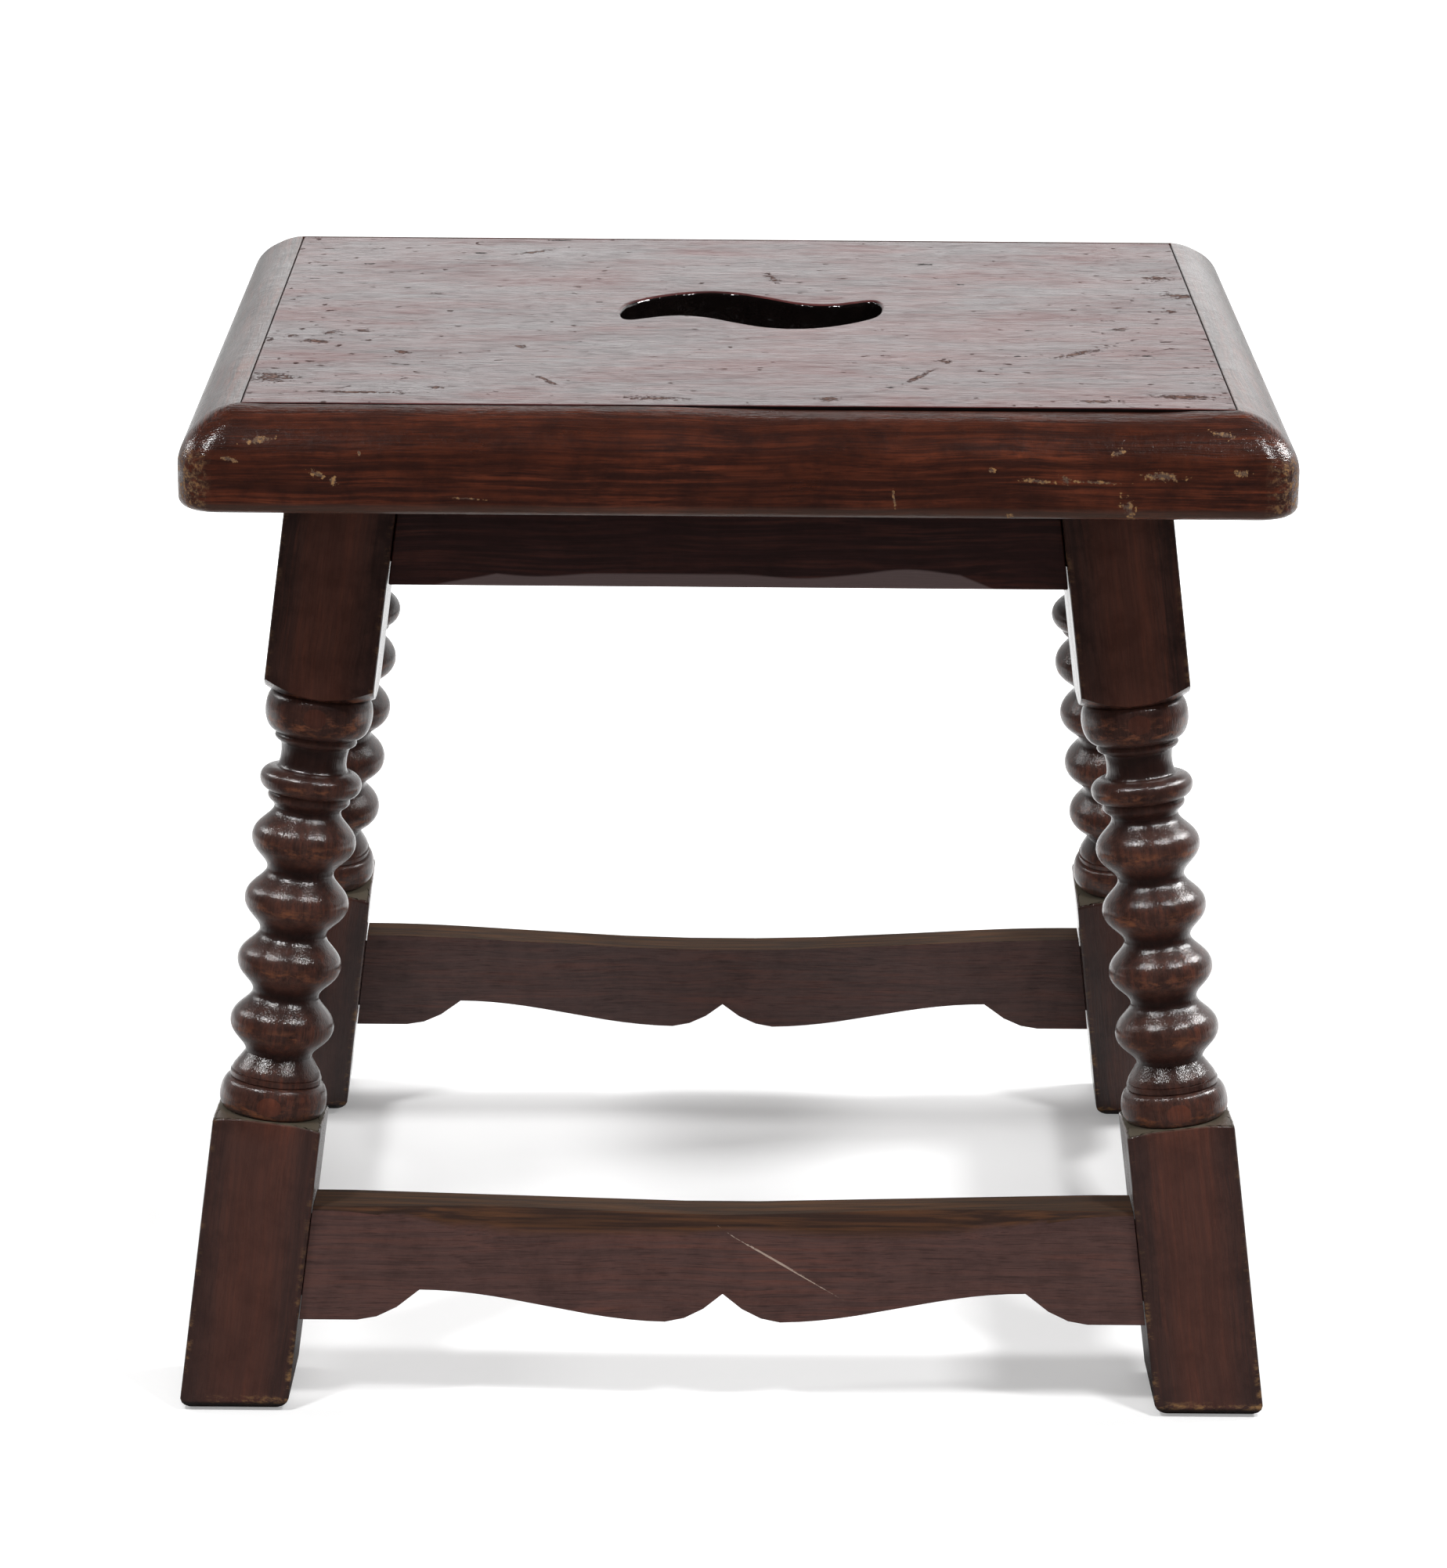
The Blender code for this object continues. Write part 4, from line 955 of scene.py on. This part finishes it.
def turned_profile(sizes):
    """The turning as (height above the foot block, radius) points, scribed lines included."""
    waist, crown, pitch = sizes.waist_radius, sizes.bobbin_radius, sizes.bobbin_pitch
    points = bead(0, 0.0132, 0.0190, 0.0218, 0.0186, 0.42)
    points += TURNED_SCRIBES
    # A cove down to the first waist
    z, root = TURNED_SCRIBES[-1]
    for step in range(1, 8):
        turn = math.pi / 2 * step / 8
        points.append((z + 0.0063 * math.sin(turn),
                       waist + (root - waist) * (1 - math.sin(turn))))
    z += 0.0063
    bobbins, steps = 4, 22
    for step in range(bobbins * steps + 1):
        wave = (1 - math.cos(2 * math.pi * step / steps)) / 2
        # Fuller at the crown than a plain wave, and as round in the waist
        full = wave + 0.46 * wave * (1 - wave)
        points.append((z + pitch * step / steps, waist + (crown - waist) * full))
    z += pitch * bobbins
    # Each plain part is followed by a bead
    for part, ring in ((TURNED_RISE, (0.0103, 0.0160, 0.0206, 0.0145, 0.5)),
                       (TURNED_NECK, (0.0163, 0.0163, 0.0217, 0.0192, 0.58))):
        points += [(z + rise, radius) for rise, radius in part]
        z += part[-1][0]
        points += bead(z, *ring)
        z += ring[0]
    return points


def model_turning(sizes):
    """What the lathe leaves of an upright leg on the origin, wider than the square blocks."""
    half = sizes.leg_section / 2
    corner = sizes.leg_section * 0.75
    profile = turned_profile(sizes)
    base = sizes.foot_block
    end = base + profile[-1][0]
    # The shoulders fall away over the blocks' corners, the head block's by more
    chain = [(0, -0.03), (corner, -0.03)]
    chain += [(corner + (half - corner) * k / 4, base - sizes.foot_shoulder * (1 - k / 4) ** 2)
              for k in range(5)]
    chain += [(radius, base + z) for z, radius in profile]
    tip = profile[-1][1]
    chain += [(tip + (corner - tip) * k / 6, end + sizes.head_shoulder * (k / 6) ** 1.2)
              for k in range(1, 7)]
    chain += [(corner, FRAME_TOP * 1.1), (0, FRAME_TOP * 1.1)]
    turning = add_outline("turning", [Vector((x, 0, z)) for x, z in chain])
    bpy.ops.object.mode_set(mode="EDIT")
    choose(turning, lambda f: True, "FACE")
    bpy.ops.mesh.delete(type="ONLY_FACE")
    choose(turning, lambda e: all(v.co.x < CLEARANCE for v in e.verts), "EDGE")
    bpy.ops.mesh.delete(type="EDGE")
    bpy.ops.mesh.select_all(action="SELECT")
    bpy.ops.mesh.spin(steps=96, angle=2 * math.pi, center=(0, 0, 0), axis=(0, 0, 1))
    bpy.ops.mesh.select_all(action="SELECT")
    bpy.ops.mesh.remove_doubles(threshold=CLEARANCE / 10)
    bpy.ops.mesh.normals_make_consistent(inside=False)
    bpy.ops.object.mode_set(mode="OBJECT")
    return turning


def leg_stand(side_x, side_y):
    """The move from an upright leg on the origin to its place and lean in a corner."""
    up = Vector((-side_x * LEAN_X, -side_y * LEAN_Y, 1)).normalized()
    across = Vector((1, 0, 0))
    across = (across - up * across.dot(up)).normalized()
    back = up.cross(across)
    stand = Matrix((across, back, up)).transposed().to_4x4()
    stand.translation = (side_x * FOOT_AXIS_X, side_y * FOOT_AXIS_Y, 0)
    return stand


def model_leg(name, stand, turning, sizes):
    """One leaning leg: a square bar, sawn level and rounded at the foot, then turned."""
    side = sizes.leg_section
    clear_selection()
    bpy.ops.mesh.primitive_cube_add(size=1, location=(0, 0, FRAME_TOP / 2),
                                    scale=(side, side, FRAME_TOP * 1.16))
    leg = bpy.context.object
    leg.name = name
    bpy.ops.object.transform_apply(location=True, rotation=True, scale=True)
    leg.matrix_world = stand
    bpy.ops.object.transform_apply(location=True, rotation=True, scale=True)
    bpy.ops.object.mode_set(mode="EDIT")
    # The loop half way up, which the lathe takes away, parts the head's arrises
    waist = FRAME_TOP / 2
    for z, below, above in ((0, True, False), (FRAME_TOP, False, True), (waist, False, False)):
        bpy.ops.mesh.select_all(action="SELECT")
        bpy.ops.mesh.bisect(plane_co=(0, 0, z), plane_no=(0, 0, 1), use_fill=z != waist,
                            clear_inner=below, clear_outer=above)
    choose(leg, lambda e: all(v.co.z < CLEARANCE for v in e.verts), "EDGE")
    bpy.ops.mesh.bevel(offset=sizes.foot_round, segments=4, profile=0.42, affect="EDGES")
    choose(leg, lambda e: abs(e.verts[0].co.z - e.verts[1].co.z) > CLEARANCE
           and middle(e).z > waist, "EDGE")
    bpy.ops.mesh.bevel(offset=sizes.leg_arris, segments=4, affect="EDGES")
    bpy.ops.object.mode_set(mode="OBJECT")
    cutter = own_copy(turning, "lathe")
    cutter.matrix_world = stand
    cut_with(leg, cutter, "INTERSECT")

    upright = stand.inverted()
    base = sizes.foot_block
    fall = sizes.foot_shoulder + CLEARANCE

    def worn_round(edge):
        """An arris of the foot block, or an edge between its sides and its top."""
        spot = upright @ middle(edge)
        x, y = abs(spot.x), abs(spot.y)
        arris = (abs(x - y) < 0.001 and x > 0.016 and spot.z < base - fall
                 and abs(edge.verts[0].co.z - edge.verts[1].co.z) > CLEARANCE
                 and edge.calc_face_angle(0) > math.radians(20))
        rim = (max(x, y) > side / 2 - CLEARANCE / 3
               and all(abs((upright @ v.co).z - base) < fall for v in edge.verts)
               and edge.calc_face_angle(0) > math.radians(50))
        return arris or rim

    work_on(leg)
    bpy.ops.object.mode_set(mode="EDIT")
    bpy.ops.mesh.select_all(action="SELECT")
    bpy.ops.mesh.remove_doubles(threshold=CLEARANCE / 6)
    choose(leg, worn_round, "EDGE")
    bpy.ops.mesh.bevel(offset=sizes.foot_rim, segments=3, affect="EDGES", clamp_overlap=False)
    bpy.ops.object.mode_set(mode="OBJECT")
    return leg


class STOOL_OT_legs(bpy.types.Operator):
    """Models the four turned legs at their lean"""

    bl_idname = "stool.legs"
    bl_label = "Legs"
    bl_options = {"REGISTER", "UNDO"}

    def execute(self, context):
        sizes = context.scene.stool_sizes
        finishes = make_finishes(context)
        turning = model_turning(sizes)
        corners = (("front_left", -1, -1), ("front_right", 1, -1),
                   ("back_left", -1, 1), ("back_right", 1, 1))
        for (corner, side_x, side_y), shift in zip(corners, WOOD_SHIFTS):
            stand = leg_stand(side_x, side_y)
            upright = stand.inverted()
            leg = model_leg(f"leg_{corner}_dressed", stand, turning, sizes)

            def along_leg(p, upright=upright, shift=shift):
                """Height along the leg, shifted to wood of its own, and place across it."""
                place = upright @ p
                return place.z + shift, place.x, place.y

            keep_grain(leg, along_leg)
            finish_shading(leg, 28)
            settle(leg, f"leg_{corner}", "leg", finishes["stained wood of the legs"])
        bpy.data.objects.remove(turning)
        return {"FINISHED"}


# Rails and stretchers

class STOOL_OT_rails(bpy.types.Operator):
    """Eases and finishes the rails under the seat and the shaped stretchers"""

    bl_idname = "stool.rails"
    bl_label = "Rails and Stretchers"
    bl_options = {"REGISTER", "UNDO"}

    def execute(self, context):
        sizes = context.scene.stool_sizes
        finishes = make_finishes(context)
        for kind, slot in (("apron", "rail"), ("stretcher", "stretcher")):
            for side, shift in zip(("front", "back", "left", "right"), WOOD_SHIFTS):
                node = f"{kind}_{side}"
                piece = own_copy(frame["nodes"][node], f"{node}_dressed")
                bpy.ops.object.parent_clear(type="CLEAR_KEEP_TRANSFORM")
                bpy.ops.object.mode_set(mode="EDIT")
                bpy.ops.mesh.select_all(action="SELECT")
                bpy.ops.mesh.remove_doubles(threshold=CLEARANCE / 30)
                bpy.ops.mesh.dissolve_limited(angle_limit=math.radians(1))
                bpy.ops.object.mode_set(mode="OBJECT")
                apply_modifier(piece, "BEVEL", width=sizes.rail_arris, segments=3,
                               limit_method="ANGLE", angle_limit=math.radians(32))
                if side in ("front", "back"):
                    keep_grain(piece, lambda p: (p.x + shift, p.z, p.y))
                else:
                    keep_grain(piece, lambda p: (p.y + shift, p.z, p.x))
                finish_shading(piece)
                settle(piece, node, slot, finishes[f"stained wood of the {slot}s"])
        return {"FINISHED"}


class STOOL_OT_fastenings(bpy.types.Operator):
    """Finishes the corner blocks and the screws that hold the seat"""

    bl_idname = "stool.fastenings"
    bl_label = "Corner Blocks and Screws"
    bl_options = {"REGISTER", "UNDO"}

    def execute(self, context):
        finishes = make_finishes(context)
        for node, piece in frame["nodes"].items():
            for start, finish in (("corner_block", "raw sawn softwood"),
                                  ("seat_screw", "dull steel with rust freckles")):
                if node.startswith(start):
                    for place in piece.material_slots:
                        place.material = finishes[finish]
        return {"FINISHED"}


# Floor, lamps and camera

def floor_finish():
    """Matt paper, white to the camera round the stool's own shadow."""
    finish = new_material("matt white floor")
    tree = finish.node_tree
    path = add_node(tree, "LightPath")
    place = add_node(tree, "TexCoord").outputs["Object"]
    reach = add_node(tree, "VectorMath", {0: place}, operation="LENGTH")
    # The paper is lit behind the stool, and the studio in front of it is dim
    depth = add_node(tree, "SeparateXYZ", {0: place}).outputs[1]
    paper = add_node(tree, "MapRange", {0: depth, 1: -0.3, 2: 0.3, 3: 0.012, 4: 0.8},
                     interpolation_type="SMOOTHSTEP")
    tone = add_node(tree, "Mix", {0: path.outputs["Is Glossy Ray"], 2: 0.85, 3: paper},
                    data_type="FLOAT")
    matt = add_node(tree, "BsdfDiffuse", {"Color": tone})
    # To the camera it is white, and whiter away from the stool's own shadow
    far = add_node(tree, "MapRange", {0: reach, 1: 0.35, 3: 0.22},
                   interpolation_type="SMOOTHSTEP")
    lift = add_node(tree, "Math", {0: path.outputs["Is Camera Ray"], 1: far},
                    operation="MULTIPLY")
    white = add_node(tree, "Emission", {"Strength": lift})
    both = add_node(tree, "AddShader", {0: matt, 1: white})
    # From below, the camera looks through it
    below = add_node(tree, "NewGeometry").outputs["Backfacing"]
    below = add_node(tree, "Math", {0: below, 1: path.outputs["Is Camera Ray"]},
                     operation="MULTIPLY")
    clear = add_node(tree, "BsdfTransparent")
    both = add_node(tree, "MixShader", {0: below, 1: both, 2: clear})
    add_node(tree, "OutputMaterial", {"Surface": both})
    return finish


def white_studio():
    """A world that is white to the camera and a lit backdrop to the varnish."""
    world = bpy.data.worlds.new("white studio")
    world.use_nodes = True
    tree = world.node_tree
    tree.nodes.clear()
    path = add_node(tree, "LightPath")
    toward = add_node(tree, "TexCoord").outputs["Generated"]
    right, back, rise = add_node(tree, "SeparateXYZ", {0: toward}).outputs
    # The backdrop stands behind the stool and reaches a third up the sky
    backdrop, left, top = (
        add_node(tree, "MapRange", {0: source, 1: start, 2: end, 3: first, 4: last},
                 interpolation_type="SMOOTHSTEP")
        for source, start, end, first, last in (
            (back, 0.15, 0.45, 0.0, 1.0), (right, -0.22, -0.12, 0.55, 1.0),
            (rise, 0.35, 0.46, 1.0, 0.06)))
    for factor in (left, top):
        backdrop = add_node(tree, "Math", {0: backdrop, 1: factor}, operation="MULTIPLY")
    backdrop = add_node(tree, "Math", {0: backdrop, 1: 1.14, 2: 0.004},
                        operation="MULTIPLY_ADD")
    glossy = add_node(tree, "Mix", {0: path.outputs["Is Glossy Ray"], 2: 0.32, 3: backdrop},
                      data_type="FLOAT")
    shown = add_node(tree, "Mix", {0: path.outputs["Is Camera Ray"], 2: glossy, 3: 1.0},
                     data_type="FLOAT")
    sky = add_node(tree, "Background", {"Color": (1, 1, 1, 1), "Strength": shown})
    add_node(tree, "OutputWorld", {"Surface": sky})
    # Rays meet the sky by themselves, so each kind of ray sees its own strength
    world.cycles.sampling_method = "NONE"
    return world


def add_lamps(scene):
    """Square lamps that look at the stool."""
    for name, place, size, power, shines in LAMPS:
        light = bpy.data.lights.new(name, "AREA")
        light.shape = "SQUARE"
        light.size = size
        light.energy = power
        lamp = bpy.data.objects.new(name, light)
        lamp.location = place
        lamp.visible_glossy = shines
        away = Vector(place) - Vector(LAMP_TARGET)
        lamp.rotation_euler = away.to_track_quat("Z", "Y").to_euler()
        scene.collection.objects.link(lamp)


def add_camera(scene):
    """The camera in its place, turned by yaw, pitch and roll."""
    forward = Vector((math.sin(CAMERA_YAW) * math.cos(CAMERA_PITCH),
                      math.cos(CAMERA_YAW) * math.cos(CAMERA_PITCH), -math.sin(CAMERA_PITCH)))
    right = Vector((math.cos(CAMERA_YAW), -math.sin(CAMERA_YAW), 0))
    up = right.cross(forward)
    turned_right = math.cos(CAMERA_ROLL) * right + math.sin(CAMERA_ROLL) * up
    turned_up = -math.sin(CAMERA_ROLL) * right + math.cos(CAMERA_ROLL) * up
    view = bpy.data.cameras.new("camera")
    view.sensor_fit = "HORIZONTAL"
    view.sensor_width = 36
    view.lens = CAMERA_LENS
    camera = bpy.data.objects.new("camera", view)
    place = Matrix((turned_right, turned_up, -forward)).transposed().to_4x4()
    place.translation = CAMERA_PLACE
    camera.matrix_world = place
    scene.collection.objects.link(camera)
    scene.camera = camera


class STOOL_OT_stage(bpy.types.Operator):
    """Lays the pale floor and sets the lamps, the white background and the camera"""

    bl_idname = "stool.stage"
    bl_label = "Floor, Lamps and Camera"
    bl_options = {"REGISTER", "UNDO"}

    def execute(self, context):
        clear_selection()
        bpy.ops.mesh.primitive_circle_add(vertices=96, radius=9, fill_type="NGON",
                                          location=(0, 0, -0.0002))
        floor = bpy.context.object
        floor.name = "floor"
        floor.data.materials.append(floor_finish())
        context.scene.world = white_studio()
        add_lamps(context.scene)
        add_camera(context.scene)
        context.scene.view_settings.view_transform = "Standard"
        return {"FINISHED"}


class STOOL_PT_panel(bpy.types.Panel):
    """Sizes, colours and steps of the stool"""

    bl_idname = "STOOL_PT_panel"
    bl_label = "Bobbin-turned Stool"
    bl_space_type = "VIEW_3D"
    bl_region_type = "UI"
    bl_category = "Stool"

    def draw(self, context):
        layout = self.layout
        for group, title in ((context.scene.stool_sizes, "Sizes"),
                             (context.scene.stool_colours, "Colours")):
            box = layout.box()
            box.label(text=title)
            for key in group.__annotations__:
                box.prop(group, key)
        for step in STEPS:
            layout.operator(step.bl_idname)


STEPS = (STOOL_OT_board, STOOL_OT_edging, STOOL_OT_legs, STOOL_OT_rails,
         STOOL_OT_fastenings, STOOL_OT_stage)
CLASSES = (StoolSizes, StoolColours) + STEPS + (STOOL_PT_panel,)


def register():
    """Registers the classes and puts the groups on the scene."""
    for item in CLASSES:
        bpy.utils.register_class(item)
    bpy.types.Scene.stool_sizes = bpy.props.PointerProperty(type=StoolSizes)
    bpy.types.Scene.stool_colours = bpy.props.PointerProperty(type=StoolColours)


def unregister():
    """Takes the groups off the scene and unregisters the classes."""
    del bpy.types.Scene.stool_colours
    del bpy.types.Scene.stool_sizes
    for item in reversed(CLASSES):
        bpy.utils.unregister_class(item)


def main():
    """Runs the steps in order."""
    register()
    bpy.ops.stool.board()
    bpy.ops.stool.edging()
    bpy.ops.stool.legs()
    bpy.ops.stool.rails()
    bpy.ops.stool.fastenings()
    bpy.ops.stool.stage()


if __name__ == "__main__":
    main()
